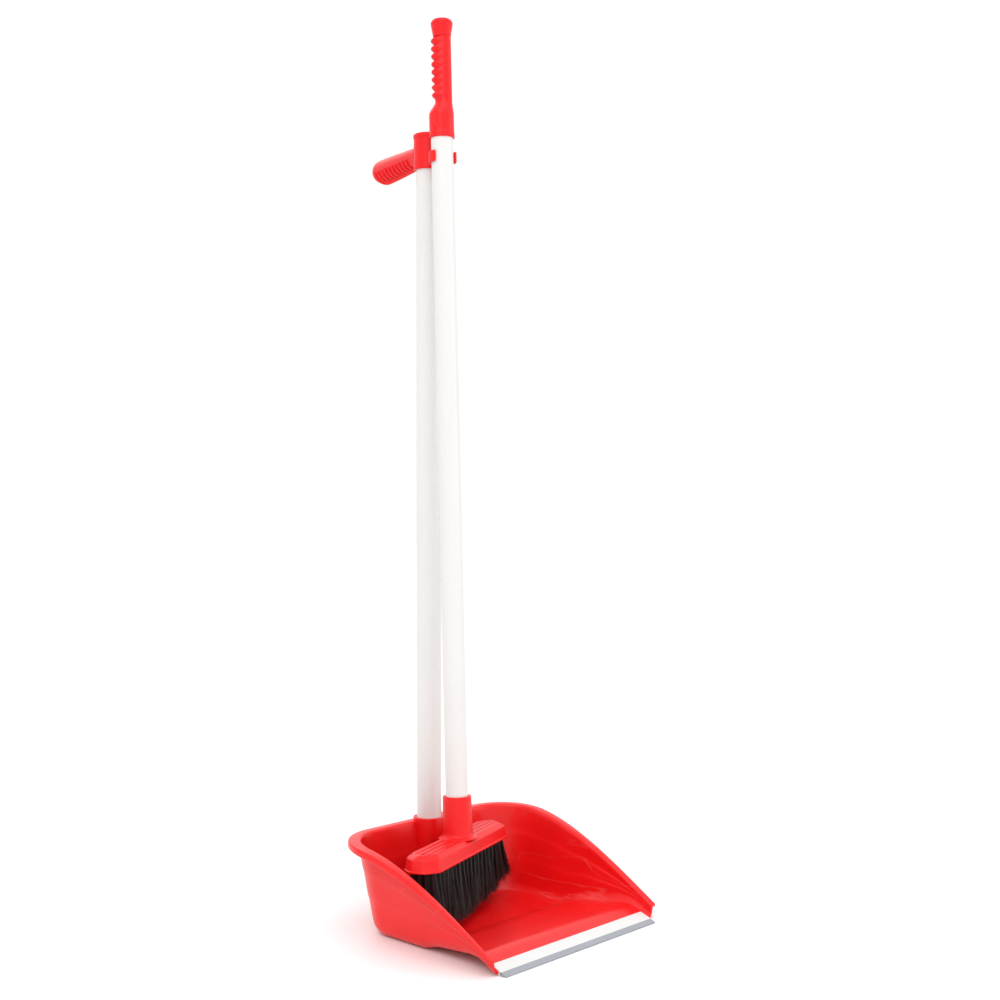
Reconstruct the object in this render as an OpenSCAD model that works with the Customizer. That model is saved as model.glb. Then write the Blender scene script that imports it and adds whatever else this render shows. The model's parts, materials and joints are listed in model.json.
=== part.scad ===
// Dust pan and brush set on long handles: the brush hangs in a clip on the pan's handle, its head in the pan.
// Frame: Z up, X across the pan, the lip faces -Y. The origin is on the floor, under the flat foot of the pan.

/* [Pan] */
// Length of the lip, which is also the clear width between the side walls at the rim
lip_len = 230; // [200:1:280]
// Depth of the pan from the front edge of the blade to the back of the rim
pan_depth = 216; // [185:1:260]
// Height of the rim at the back
pan_height = 90; // [76:1:110]
// Height of the rim at the front end of each side wall
rim_front_h = 9.5; // [8:0.5:12]
// Thickness of the moulded wall and floor
wall = 2.2; // [1.8:0.1:2.8]
// Width of the rolled rim at the back
rim_w = 13; // [10:0.5:16]
// Width of the rolled rim at the front ends
rim_front_w = 5.5; // [5.5:0.5:8]
// Depth of the turned-down edge of the rim at the back
rim_drop = 7; // [5:0.5:9]
// Inner radius of the two rear corners at the rim
corner_r = 42; // [34:1:50]
// Draft of the walls, in degrees from upright
wall_draft = 9.5; // [7:0.5:12]
// Distance of the pan tube's axis in front of the back of the rim
tube_inboard = 14; // [12:0.5:16]
// Radius between the floor and the walls
floor_fillet = 8; // [5:0.5:10]
// Height of the top of the front ramp above the ground
crest_h = 13; // [11:0.5:16]
// Distance from the blade's front edge to the top of the ramp
crest_in = 32; // [27:1:40]
// Height of the deck just in front of the step down to the sump
deck_h = 8; // [6:0.5:10]
// Distance from the blade's front edge to the step down
step_in = 86; // [72:1:104]
// Length of the step down
step_len = 26; // [18:1:32]
// Relief of the two moulded bands that run round the walls
band_step = 0.8; // [0.4:0.1:1.2]

/* [Lip] */
// Visible depth of the soft blade in front of its carrier strip
blade_out = 6; // [4:0.5:8]
// Visible depth of the carrier strip
strip_w = 12; // [9:0.5:15]
// Thickness of the skins of the carrier strip
strip_t = 1.4; // [1:0.1:1.8]
// Gap between each end of the strip and the side wall
strip_end_gap = 0.6; // [0.3:0.1:1]

/* [Pan handle] */
// Outer diameter of the pan's tube with its skin
pan_tube_d = 25; // [21:0.5:30]
// Height of the top of the pan's tube above the floor
pan_tube_top = 775; // [650:5:930]
// Thickness of the plastic skin on both tubes
skin_t = 0.4; // [0.3:0.05:0.6]
// Wall of both steel tubes
steel_t = 0.6; // [0.4:0.1:1]
// Wall of the tube socket on the back of the pan
socket_wall = 3.4; // [2.4:0.1:5]
// How far the tube goes down into the pan's socket
pan_tube_in = 70; // [55:1:75]

/* [Bracket] */
// Wall of the sleeve on the pan's tube
sleeve_wall = 2.5; // [2:0.1:3.5]
// Height of the sleeve
sleeve_h = 36; // [30:1:43]
// Turn of the bracket about the tube, seen from above, in degrees
bracket_turn = -19; // [-30:1:0]
// Height of the band of the C-clip
clip_h = 11; // [9:0.5:14]
// Wall of the C-clip
clip_wall = 3; // [2.4:0.1:4]
// Gap between the clip's ring and the sleeve, which the arm bridges
clip_gap = 2.8; // [2.4:0.1:5]
// Opening of the C-clip, in degrees
clip_open = 130; // [110:5:150]
// Length of the side grip from the sleeve
side_grip_len = 104; // [86:1:125]
// Diameter of the side grip next to the sleeve
side_grip_d1 = 20.5; // [18:0.5:24]
// Diameter of the side grip near its free end
side_grip_d2 = 25; // [21:0.5:30]
// Number of finger ribs under the side grip
side_ribs = 10; // [8:1:12]

/* [Brush] */
// Outer diameter of the brush's tube with its skin
brush_tube_d = 22; // [19:0.5:26]
// Length of the brush block
block_len = 190; // [158:1:200]
// Width of the brush block
block_w = 38; // [33:1:42]
// Height of the upright sides of the block
block_side = 12; // [10:0.5:15]
// Height of the bevelled crown of the block
block_crown = 4; // [3:0.5:5]
// Chamfer across the corners of the block
block_chamfer = 11; // [8:1:14]
// Height of the tube socket above the block
block_socket_h = 40; // [33:1:48]
// Wall of the tube socket on the block
block_socket_wall = 3; // [2.4:0.1:4]
// Free length of the bristles
bristle_len = 60; // [50:1:66]
// Rows of tufts
tuft_rows = 4; // [4:1:4]
// Tufts in each row
tufts = 19; // [16:1:20]
// Diameter of the drilled tuft holes
tuft_d = 4.6; // [4:0.1:5.2]
// Depth of the tuft holes
tuft_hole = 8; // [6:0.5:9]
// How far the flared end of the bristles leans out at the tips
flare = 5; // [4:0.5:6]
// Turn of the brush about its own tube, in degrees from across the pan
brush_yaw = 20; // [17:1:21]
// Distance of the bristle tips above the sump floor, on the brush's axis
tip_gap = 4.6; // [4:0.1:8]
// Sideways place of the brush's foot
brush_foot_x = -16; // [-17:0.5:-12]
// Distance of the brush's foot in front of the pan tube's axis
brush_foot_back = 58; // [57:1:66]

/* [Brush grip] */
// Clear length of tube between the clip and the foot of the grip
grip_gap = 13.2; // [11:0.2:16]
// Length of the grip with its cap
grip_len = 118; // [99:1:141]
// Wall of the collar of the grip
collar_wall = 1.3; // [1.1:0.1:2]
// Height of the collar
collar_h = 25; // [22:1:30]
// Width of the waist and of the finger part
waist_d = 15.6; // [13:0.2:18]
// Height of the cap at the top of the grip
cap_h = 17.5; // [15:0.5:21]
// Diameter of the flared top of the cap
cap_d = 22.4; // [19:0.2:26]
// Number of finger teeth
teeth = 8; // [6:1:9]

/* [Fits] */
// Radial clearance of parts that turn or slide on each other
run_gap = 0.06; // [0.03:0.01:0.09]
// End clearance of parts that turn or slide on each other
end_gap = 0.4; // [0.3:0.1:0.8]

/* [Hidden] */
$fn = 64;

red = [0.80, 0.06, 0.06];
white = [0.93, 0.93, 0.91];
grey = [0.60, 0.61, 0.65];
black = [0.07, 0.07, 0.07];
steel = [0.66, 0.67, 0.69];

// ---- pan: places along its depth, counted back from the front edge of the blade ----
strip_in = blade_out + strip_w;                 // back edge of the carrier strip
tongue_in = blade_out + 2.8;                    // front edge of the moulded floor
step_lip = strip_t;                             // the floor steps down by this much under the strip
sump_top = wall;                                // top of the sump floor, so its underside is the foot at z = 0
back_in = pan_depth - rim_w;                    // inner face of the back wall at the rim
arc_in = back_in - corner_r;                    // where the rear corners begin
half_w = lip_len / 2;
rim_flat = pan_depth * 0.93;                    // the rim is level behind this
tube_in = pan_depth - tube_inboard;             // axis of the pan's tube
tongue_t = 1.8;                                 // thickness of the floor's tongue under the strip

function smooth(t) = let (c = min(1, max(0, t))) c * c * (3 - 2 * c);
function mix(a, b, t) = a + (b - a) * t;
ramp_foot = 1.2;
function ramp_z(d) = mix(ramp_foot, crest_h, d / crest_in);
function deck_z(d) = mix(crest_h, deck_h, (d - crest_in) / (step_in - crest_in));
// top of the floor at distance d behind the blade's edge
function floor_z(d) = d <= strip_in ? ramp_z(d) - step_lip
    : d <= crest_in ? ramp_z(d)
    : d <= step_in ? deck_z(d)
    : mix(deck_h, sump_top, smooth((d - step_in) / step_len));
function floor_t(d) = d <= strip_in ? tongue_t : wall;
function rim_z(d) = mix(rim_front_h, pan_height, sin(90 * min(1, d / rim_flat)));
function rim_width(d) = mix(rim_front_w, rim_w, smooth(d / arc_in));
function rim_turn(d) = mix(3, rim_drop, smooth(d / arc_in));
function inset(d) = (rim_z(d) - floor_z(d)) * tan(wall_draft);
function fillet(d) = min(floor_fillet, 0.3 * (rim_z(d) - floor_z(d)));
// The origin is under the middle of the flat foot, between the step and the back wall.
foot_in = (step_in + step_len + back_in - inset(back_in) - floor_fillet) / 2;
front_y = -foot_in;                             // y of the blade's front edge
tube_y = front_y + tube_in;

// One section through the wall, [outward, up], from the floor's edge over the rim and down the outside.
function section(d) = let (
        zf = floor_z(d), zr = rim_z(d), q = inset(d), r = fillet(d), w = rim_width(d), h = rim_turn(d),
        top = min(2.5, 0.3 * (zr - zf)), z1 = zf + r, z2 = zr - top,
        round_in = min(2.4, 0.4 * (w - 2 * wall)), b = band_step * smooth(d / step_in),
        lean = function(z) -q * (zr - z) / (zr - zf),
        za = mix(z1, z2, 0.30), zb = mix(z1, z2, 0.36), zc = mix(z1, z2, 0.64), zd = mix(z1, z2, 0.70))
    concat(
        [[lean(zf) - r, zf], [lean(zf) - r * 0.5, zf + r * 0.13], [lean(zf) - r * 0.13, zf + r * 0.5],
         [lean(z1), z1], [lean(za), za], [lean(zb) + b, zb], [lean(zc) + b, zc], [lean(zd) + 2 * b, zd],
         [lean(z2) + b, z2], [top * 0.3 + b, zr - top * 0.3], [top + b, zr], [w - round_in, zr],
         [w - round_in * 0.3, zr - round_in * 0.3], [w, zr - round_in], [w, zr - h]],
        [[w - wall, zr - h], [w - wall, zr - wall - round_in * 0.6], [w - wall - round_in * 0.3, zr - wall],
         [w - wall - round_in * 0.5, zr - wall], [wall + round_in * 0.8 + b * 0.2, zr - wall],
         [wall + round_in * 0.3 + b * 0.2, zr - wall - top * 0.3], [lean(z2 - wall * 0.3) + wall + b, z2 - wall],
         [lean(zd) + wall + 2 * b, zd - 0.2], [lean(zc) + wall + b, zc - 0.2], [lean(zb) + wall + b, zb - 0.2],
         [lean(za) + wall, za - 0.2], [lean(z1) + wall, z1 - 0.2],
         [lean(zf) - r * 0.13 + wall * 0.7, zf + r * 0.5 - wall * 0.7],
         [lean(zf) - r * 0.5 + wall * 0.25, zf + r * 0.13 - wall], [lean(zf) - r, zf - floor_t(d)]]);

// Stations round the pan: [place on the rim's inner edge, outward direction, depth]
side_n = 26;
arc_n = 8;
back_n = 12;
side_ds = concat([tongue_in, mix(tongue_in, strip_in, 0.5), strip_in, strip_in + 0.05],
    [for (i = [1 : side_n]) mix(strip_in, arc_in, i / side_n)]);
left_st = concat(
    [for (d = side_ds) [[-half_w, d], [-1, 0], d]],
    [for (i = [1 : arc_n]) let (a = 90 * i / arc_n)
        [[-half_w + corner_r * (1 - cos(a)), arc_in + corner_r * sin(a)], [-cos(a), sin(a)],
         arc_in + corner_r * sin(a)]]);
flat_x = half_w - corner_r;
back_st = [for (i = [1 : back_n - 1]) [[mix(-flat_x, flat_x, i / back_n), back_in], [0, 1], back_in]];
left_n = len(left_st);
right_st = [for (i = [left_n - 1 : -1 : 0]) let (s = left_st[i]) [[-s[0][0], s[0][1]], [-s[1][0], s[1][1]], s[2]]];
stations = concat(left_st, back_st, right_st);
station_n = len(stations);
sec_n = len(section(50));

function ring_pt(s, p) = [s[0][0] + s[1][0] * p[0], front_y + s[0][1] + s[1][1] * p[0], p[1]];
ring_pts = [for (s = stations) each [for (p = section(s[2])) ring_pt(s, p)]];
function ring_id(i, j) = i * sec_n + j;
// Rungs across the floor join each left station to its mirror image; the last one runs along the back wall.
function rung_pts(i, j) = let (a = ring_pts[ring_id(i, j)], b = ring_pts[ring_id(station_n - 1 - i, j)])
    [for (c = [1 : back_n - 1]) mix(a, b, c / back_n)];
top_pts = [for (i = [0 : left_n - 2]) each rung_pts(i, 0)];
low_pts = [for (i = [0 : left_n - 2]) each rung_pts(i, sec_n - 1)];
top_at = len(ring_pts);
low_at = top_at + len(top_pts);
function grid_id(i, c, j, at) = c == 0 ? ring_id(i, j)
    : c == back_n ? ring_id(station_n - 1 - i, j)
    : i == left_n - 1 ? ring_id(left_n - 1 + c, j)
    : at + i * (back_n - 1) + c - 1;
function top_id(i, c) = grid_id(i, c, 0, top_at);
function low_id(i, c) = grid_id(i, c, sec_n - 1, low_at);
function quad(a, b, c, d) = [[a, c, b], [a, d, c]];

pan_faces = concat(
    [for (i = [0 : station_n - 2]) for (j = [0 : sec_n - 2])
        each quad(ring_id(i, j), ring_id(i + 1, j), ring_id(i + 1, j + 1), ring_id(i, j + 1))],
    [for (i = [0 : left_n - 2]) for (c = [0 : back_n - 1])
        each quad(top_id(i, c), top_id(i, c + 1), top_id(i + 1, c + 1), top_id(i + 1, c))],
    [for (i = [0 : left_n - 2]) for (c = [0 : back_n - 1])
        each quad(low_id(i, c), low_id(i + 1, c), low_id(i + 1, c + 1), low_id(i, c + 1))],
    [for (c = [0 : back_n - 1]) each quad(top_id(0, c), low_id(0, c), low_id(0, c + 1), top_id(0, c + 1))],
    [for (j = [0 : sec_n / 2 - 2])
        each quad(ring_id(0, j), ring_id(0, j + 1), ring_id(0, sec_n - 2 - j), ring_id(0, sec_n - 1 - j))],
    [for (j = [0 : sec_n / 2 - 2]) let (k = station_n - 1)
        each quad(ring_id(k, j), ring_id(k, sec_n - 1 - j), ring_id(k, sec_n - 2 - j), ring_id(k, j + 1))]);

// ---- tubes and the leaning brush ----
boss_r = pan_tube_d / 2 + socket_wall;
boss_up = 2.5;                                  // the socket stands this far above the rim
boss_top = pan_height + boss_up;
tube_low = boss_top - pan_tube_in;
boss_floor = 3;                                 // least thickness of the socket's floor under the tube
boss_low = min(12, tube_low - boss_floor);
press_gap = 0.05;                               // radial gap of pressed and screwed fits inside one body
sleeve_r = pan_tube_d / 2 + sleeve_wall;
sleeve_cap = 3;
sleeve_top = pan_tube_top + sleeve_cap;
sleeve_low = sleeve_top - sleeve_h;
clip_in_r = brush_tube_d / 2 + run_gap;
clip_r = clip_in_r + clip_wall;
clip_reach = sleeve_r + clip_gap + clip_r - 1.2; // from the pan tube's axis to the brush's axis at the clip
clip_z = sleeve_low + 2 + clip_h / 2;
clip_at = [sin(bracket_turn) * clip_reach, tube_y - cos(bracket_turn) * clip_reach, clip_z];
foot_z = sump_top + tip_gap;
foot_at = [brush_foot_x, tube_y - brush_foot_back, foot_z];
lean_v = (clip_at - foot_at) / norm(clip_at - foot_at);
lean_x = -asin(lean_v[1]);
lean_y = atan2(lean_v[0], lean_v[2]);
clip_along = norm(clip_at - foot_at);
grip_start = clip_along + clip_h / 2 + grip_gap;
collar_d = brush_tube_d + 2 * collar_wall;

module on_brush() { translate(foot_at) rotate([lean_x, lean_y, 0]) children(); }
module on_head() { on_brush() rotate([0, 0, brush_yaw]) children(); }
module on_bracket() { translate([0, tube_y, 0]) rotate([0, 0, bracket_turn]) children(); }

block_low = bristle_len;
crown_z = block_low + block_side;
block_top = crown_z + block_crown;
socket_top = block_top + block_socket_h;
socket_r = brush_tube_d / 2 + block_socket_wall;
tube_seat = block_top + 12;                     // shoulder in the socket where the tube stops
ferrule_r = brush_tube_d / 2 - skin_t - steel_t - press_gap;
thread_r = 8;
thread_low = block_low + tuft_hole + 1.5;
brush_tube_low = tube_seat + end_gap;
collar_in = collar_h - 3;
brush_tube_top = grip_start + collar_in;
row_pitch = 7.4;
tuft_pitch = (block_len - 2 * block_chamfer - tuft_d) / (tufts - 1);
tuft_margin = tuft_pitch * (tufts - 1) / 2;
row_t = 6.4;                                    // thickness of a row of bristles

// ---- pan ----
module pan_body() color(red) {
    difference() {
        union() {
            polyhedron(points = concat(ring_pts, top_pts, low_pts), faces = pan_faces, convexity = 8);
            translate([0, tube_y, boss_low]) cylinder(h = boss_top - boss_low, r = boss_r);
        }
        translate([0, tube_y, tube_low]) cylinder(h = boss_top, r = pan_tube_d / 2 + press_gap);
        translate([0, tube_y + boss_r, pan_screw_z]) rotate([90, 0, 0])
            cylinder(h = socket_wall * 4, r = screw_r + press_gap, center = true);
    }
}

// ---- lip ----
// Profiles are drawn as [distance behind the blade's edge, height] and run across the pan.
module across(len) {
    translate([-len / 2, front_y, 0]) rotate([90, 0, 90]) linear_extrude(len) children();
}
strip_len = lip_len - 2 * (inset(tongue_in) + fillet(tongue_in)) - 2 * strip_end_gap;
strip_low = 0.3;
nip = 0.1;                                      // gap between the strip and the tongue
module lip_strip() color(white) across(strip_len) difference() {
    polygon([[blade_out, strip_low], [blade_out, ramp_z(blade_out)], [strip_in - nip, ramp_z(strip_in - nip)],
        [strip_in - nip, ramp_z(strip_in) - step_lip + nip],
        [tongue_in - nip, ramp_z(tongue_in) - step_lip + nip],
        [tongue_in - nip, ramp_z(tongue_in) - step_lip - tongue_t - nip],
        [strip_in - 2, ramp_z(strip_in - 2) - step_lip - tongue_t - nip],
        [strip_in - 2, ramp_z(strip_in - 2) - step_lip - tongue_t - nip - 0.9],
        [tongue_in + 2, strip_low]]);
    translate([blade_out - 1, blade_root_z]) square([1 + blade_root, blade_root_t]);
}
blade_root = 1.8;
blade_root_z = 1.1;
blade_root_t = 1.1;
blade_tip_t = 0.9;
module lip_blade() color(grey) across(strip_len) polygon([[0, 0], [0, blade_tip_t],
    [blade_out - nip, ramp_z(blade_out) - 0.5], [blade_out - nip, blade_root_z + blade_root_t - nip],
    [blade_out + blade_root - nip, blade_root_z + blade_root_t - nip],
    [blade_out + blade_root - nip, blade_root_z + nip], [blade_out - nip, blade_root_z + nip],
    [blade_out - nip, strip_low + 0.2]]);

// ---- pan handle ----
module tube(low, top, r_out, r_in) {
    translate([0, 0, low]) difference() {
        cylinder(h = top - low, r = r_out);
        translate([0, 0, -1]) cylinder(h = top - low + 2, r = r_in);
    }
}
module pan_tube() color(steel) translate([0, tube_y, 0])
    tube(tube_low, pan_tube_top, pan_tube_d / 2 - skin_t, pan_tube_d / 2 - skin_t - steel_t);
module pan_tube_skin() color(white) translate([0, tube_y, 0])
    tube(tube_low, pan_tube_top - 6, pan_tube_d / 2, pan_tube_d / 2 - skin_t);

screw_r = 1.9;
screw_head_r = 3.6;
screw_head_h = 2;
pan_screw_z = tube_low + 22;
// A pan-head screw lying along +Y with its head's seat at y = 0 and a cross recess
module screw(length) rotate([90, 0, 0]) difference() {
    union() {
        cylinder(h = length, r = screw_r);
        translate([0, 0, -screw_head_h]) cylinder(h = screw_head_h, r1 = screw_head_r * 0.7, r2 = screw_head_r);
    }
    for (a = [0, 90]) rotate([0, 0, a]) translate([-0.5, -1.8, -screw_head_h - 1]) cube([1, 3.6, 2]);
}
module pan_screw() color(steel) translate([0, tube_y + boss_r, pan_screw_z])
    screw(socket_wall - 0.4);

// ---- bracket ----
arm_w = 9;
spigot_r = 6;
spigot_len = 34;
grip_z = sleeve_low + sleeve_h / 2;
bracket_screw_z = sleeve_low + 3.6;
module handle_bracket() color(red) difference() {
    union() {
        on_bracket() {
            translate([0, 0, sleeve_low]) cylinder(h = sleeve_h - 4, r = sleeve_r);
            translate([0, 0, sleeve_top - 4]) cylinder(h = 3, r = sleeve_r + 0.6);
            translate([0, 0, sleeve_top - 1]) cylinder(h = 1, r1 = sleeve_r + 0.6, r2 = sleeve_r - 0.6);
            translate([-arm_w / 2, -clip_reach + brush_tube_d / 2 + 1, sleeve_low + 2])
                cube([arm_w, clip_reach - brush_tube_d / 2 - pan_tube_d / 2 - 2, clip_h]);
            translate([-1.5, -sleeve_r - 1.8, sleeve_low + 2 + clip_h - 1]) cube([3, 4, 8]);
            translate([0, 0, grip_z]) rotate([-90, 0, 0])
                cylinder(h = sleeve_r + spigot_len, r = spigot_r);
            translate([0, 0, grip_z]) rotate([-90, 0, 0]) cylinder(h = sleeve_r + 1.2, r = side_grip_d1 / 2 + 1);
        }
        on_brush() translate([0, 0, clip_along - clip_h / 2]) rotate([0, 0, bracket_turn]) clip_band();
    }
    on_bracket() {
        translate([0, 0, sleeve_low - 5]) cylinder(h = sleeve_h - sleeve_cap + 5, r = pan_tube_d / 2 + press_gap);
        translate([0, sleeve_r + 2, bracket_screw_z]) rotate([90, 0, 0])
            cylinder(h = sleeve_wall + 5, r = 1.3 + press_gap);
    }
    on_brush() translate([0, 0, clip_along - clip_h]) cylinder(h = clip_h * 2, r = clip_in_r);
}
// The open band of the clip: its mouth faces away from the pan's tube and its tips are rounded
module clip_band() {
    half_open = clip_open / 2;
    rotate([0, 0, -90 + half_open]) rotate_extrude(angle = 360 - clip_open)
        translate([clip_in_r, 0]) square([clip_wall, clip_h]);
    for (s = [-1, 1]) rotate([0, 0, -90 + s * half_open]) translate([clip_in_r + clip_wall / 2, 0, 0])
        cylinder(h = clip_h, r = clip_wall / 2);
}

// Profile of the side grip, [radius, distance from the sleeve], with a domed end
side_dome = side_grip_d2 / 2;
side_rib_at = 16;
side_rib_pitch = (side_grip_len - side_dome - side_rib_at - 4) / (side_ribs - 1);
function side_r(t) = mix(side_grip_d1, side_grip_d2, smooth(t / (side_grip_len - side_dome))) / 2;
module side_grip() color(red) on_bracket() translate([0, sleeve_r + 1.3, grip_z]) rotate([-90, 0, 0])
    difference() {
        union() {
            rotate_extrude() polygon(concat([[0, 0], [side_grip_d1 / 2 - 0.8, 0]],
                [for (i = [0 : 12]) let (t = max(0.8, (side_grip_len - side_dome) * i / 12)) [side_r(t), t]],
                [for (a = [15 : 15 : 90]) [side_dome * cos(a), side_grip_len - side_dome + side_dome * sin(a)]]));
            for (i = [0 : side_ribs - 1]) translate([0, 0, side_rib_at + i * side_rib_pitch])
                side_rib(side_r(side_rib_at + i * side_rib_pitch));
        }
        translate([0, 0, -1]) cylinder(h = spigot_len - 1.3 + 1 + end_gap, r = spigot_r + press_gap);
    }
// One finger rib, a rounded half ring on the underside, which is the local +Y side
module side_rib(r) rotate([0, 0, 12]) rotate_extrude(angle = 156)
    translate([r - 1.2, 0]) intersection() {
        circle(r = 2.6);
        translate([0, -1.9]) square([4, 3.8]);
    }
module bracket_screw() color(steel) on_bracket() translate([0, sleeve_r, bracket_screw_z])
    rotate([90, 0, 0]) {
        translate([0, 0, -1.2]) cylinder(h = 1.2, r1 = 1.6, r2 = 2.4);
        cylinder(h = sleeve_wall - 0.2, r = 1.3);
    }

// ---- brush head ----
module octagon(len, w, cut) {
    polygon([for (s = [[1, 1], [-1, 1], [-1, -1], [1, -1]]) each
        let (a = [s[0] * len / 2, s[1] * (w / 2 - cut)], b = [s[0] * (len / 2 - cut), s[1] * w / 2])
        s[0] * s[1] > 0 ? [a, b] : [b, a]]);
}
module plate(z, h, grow) translate([0, 0, z]) linear_extrude(h)
    octagon(block_len + 2 * grow, block_w + 2 * grow, block_chamfer);
block_lip = 1.6;
crown_in = 5;
ridge_h = 0.9;
module block_shell() {
    plate(block_low, block_lip, 0);
    hull() {
        plate(block_low + block_lip - 0.01, 0.01, -0.8);
        plate(crown_z, 0.01, -2);
    }
    hull() {
        plate(crown_z, 0.01, -2);
        plate(block_top, 0.01, -2 - crown_in);
    }
    for (s = [-1, 0, 1]) for (e = [-1, 1])
        translate([e * (socket_r + 4 + ridge_len / 2), s * ridge_pitch, block_top + ridge_h / 2])
            cube([ridge_len, 1.8, ridge_h * 2], center = true);
}
ridge_pitch = 7;
ridge_len = block_len / 2 - socket_r - 4 - block_chamfer - crown_in - 2;
// Each tuft leans out a little more towards the flared end, which is the local +X end
function tuft_x(i) = -tuft_margin + i * tuft_pitch;
function row_y(k) = (k - (tuft_rows - 1) / 2) * row_pitch;
module tuft_places(k) for (i = [0 : tufts - 1]) translate([tuft_x(i), row_y(k), block_low]) children();
module brush_block() color(red) on_head() difference() {
    union() {
        block_shell();
        translate([0, 0, block_top - 0.5])
            cylinder(h = block_socket_h + 0.5 - 1.5, r1 = socket_r + 0.8, r2 = socket_r);
        translate([0, 0, socket_top - 1.5]) cylinder(h = 1.5, r1 = socket_r, r2 = socket_r - 1);
    }
    translate([0, 0, tube_seat]) cylinder(h = block_socket_h + 10, r = brush_tube_d / 2 + run_gap);
    translate([0, 0, thread_low]) cylinder(h = tube_seat, r = thread_r + run_gap);
    for (k = [0 : tuft_rows - 1]) tuft_places(k) translate([0, 0, -1]) cylinder(h = tuft_hole + 1, d = tuft_d, $fn = 24);
}
// One row: the folded ends in their holes, and the brush of bristles below, flared at one end. The tips are
// ragged, so the solid row stops at their middle height, and its end bristles are worn shorter.
row_low = 4.5;
row_cut = 14;
row_end = tuft_margin + tuft_d / 2;
module bristle_row(k) color(black) on_head() {
    translate([0, row_y(k) + row_t / 2, 0]) rotate([90, 0, 0]) linear_extrude(row_t)
        polygon([[-row_end, block_low - 0.05], [-row_end, row_low + row_cut], [-row_end + row_cut, row_low],
            [row_end + flare - row_cut, row_low], [row_end + flare, row_low + row_cut],
            [row_end + flare * 0.45, block_low * 0.45], [row_end, block_low - 0.05]]);
    tuft_places(k) translate([0, 0, -0.1]) cylinder(h = tuft_hole - 1.2, d = tuft_d - 0.2, $fn = 24);
}
module bristle_row_1() bristle_row(0);
module bristle_row_2() bristle_row(1);
module bristle_row_3() bristle_row(2);
module bristle_row_4() bristle_row(3);
// Flat wire staples across the bottoms of the tuft holes
module tuft_staples() color(steel) on_head() for (k = [0 : tuft_rows - 1]) tuft_places(k)
    translate([-1.6, -0.2, tuft_hole - 1.2]) cube([3.2, 0.4, 1.1]);

// ---- brush handle ----
module brush_tube() color(steel) on_brush()
    tube(brush_tube_low, brush_tube_top, brush_tube_d / 2 - skin_t, brush_tube_d / 2 - skin_t - steel_t);
module brush_tube_skin() color(white) on_brush()
    tube(brush_tube_low, brush_tube_top, brush_tube_d / 2, brush_tube_d / 2 - skin_t);
ferrule_len = 42;
module brush_ferrule() color(grey) on_brush() {
    translate([0, 0, brush_tube_low + 0.5]) cylinder(h = ferrule_len - 0.5, r = ferrule_r);
    translate([0, 0, thread_low + end_gap]) cylinder(h = brush_tube_low + 1 - thread_low - end_gap, r = thread_r - 0.9);
    for (z = [thread_low + end_gap + 1 : 2.6 : tube_seat - 2]) translate([0, 0, z]) {
        cylinder(h = 0.8, r1 = thread_r - 0.9, r2 = thread_r);
        translate([0, 0, 0.8]) cylinder(h = 0.8, r1 = thread_r, r2 = thread_r - 0.9);
    }
}

// ---- brush grip ----
grip_out = 3.2;                                 // the finger part stands off the tube's axis by this much
cap_low = grip_start + grip_len - cap_h;
neck_h = 12;
waist_z = grip_start + collar_h + neck_h;
tooth_low = waist_z + 2;
tooth_pitch = (cap_low - tooth_low) / teeth;
tooth_h = 4;
stem_r = 4;
stem_len = 14;
grip_side = -42;                                // the way the plain side of the bar faces; the teeth face opposite
module brush_grip() color(red) on_brush() difference() {
    union() {
        translate([0, 0, grip_start]) cylinder(h = 5, d = collar_d + 0.6);
        translate([0, 0, grip_start + 5]) cylinder(h = collar_h - 5, d = collar_d);
        translate([0, 0, grip_start + collar_h]) cylinder(h = neck_h, d1 = collar_d, d2 = waist_d + 1);
        translate([0, 0, grip_start + collar_h]) rotate([0, 0, grip_side]) grip_bar();
    }
    translate([0, 0, grip_start - 1]) cylinder(h = collar_in + 1 + end_gap, d = brush_tube_d + 2 * run_gap);
    translate([0, 0, cap_low - stem_len]) rotate([0, 0, grip_side])
        translate([grip_out, 0, 0]) cylinder(h = stem_len + 1, r = stem_r + press_gap);
}
// The bar that the fingers close on: a rounded bar with teeth on its -X side
module grip_bar() difference() {
    union() {
        linear_extrude(cap_low - grip_start - collar_h) translate([grip_out, 0]) circle(d = waist_d);
        translate([0, 0, tooth_low - grip_start - collar_h]) linear_extrude(cap_low - tooth_low) {
            translate([grip_out - tooth_h, 0]) circle(d = waist_d - 1);
            translate([grip_out - tooth_h, -waist_d / 2 + 0.5]) square([tooth_h, waist_d - 1]);
        }
    }
    for (i = [0 : teeth]) translate([grip_out - waist_d / 2 - tooth_h - 0.6, 0,
        tooth_low - grip_start - collar_h + i * tooth_pitch]) rotate([90, 0, 0])
        cylinder(h = waist_d * 2, r = tooth_pitch * 0.42, center = true);
}
module grip_cap() color(red) on_brush() rotate([0, 0, grip_side]) translate([grip_out * 0.7, 0, 0]) {
    translate([0, 0, cap_low + 0.05]) cylinder(h = cap_h - 3, d1 = cap_d - 4.4, d2 = cap_d);
    translate([0, 0, cap_low + cap_h - 3 + 0.05]) cylinder(h = 2.95, d1 = cap_d, d2 = cap_d - 5);
    translate([grip_out * 0.3, 0, cap_low - stem_len + 1]) cylinder(h = stem_len, r = stem_r);
}

pan_body();
lip_strip();
lip_blade();
pan_tube();
pan_tube_skin();
pan_screw();
handle_bracket();
side_grip();
bracket_screw();
brush_block();
bristle_row_1();
bristle_row_2();
bristle_row_3();
bristle_row_4();
tuft_staples();
brush_tube();
brush_tube_skin();
brush_ferrule();
brush_grip();
grip_cap();
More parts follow.
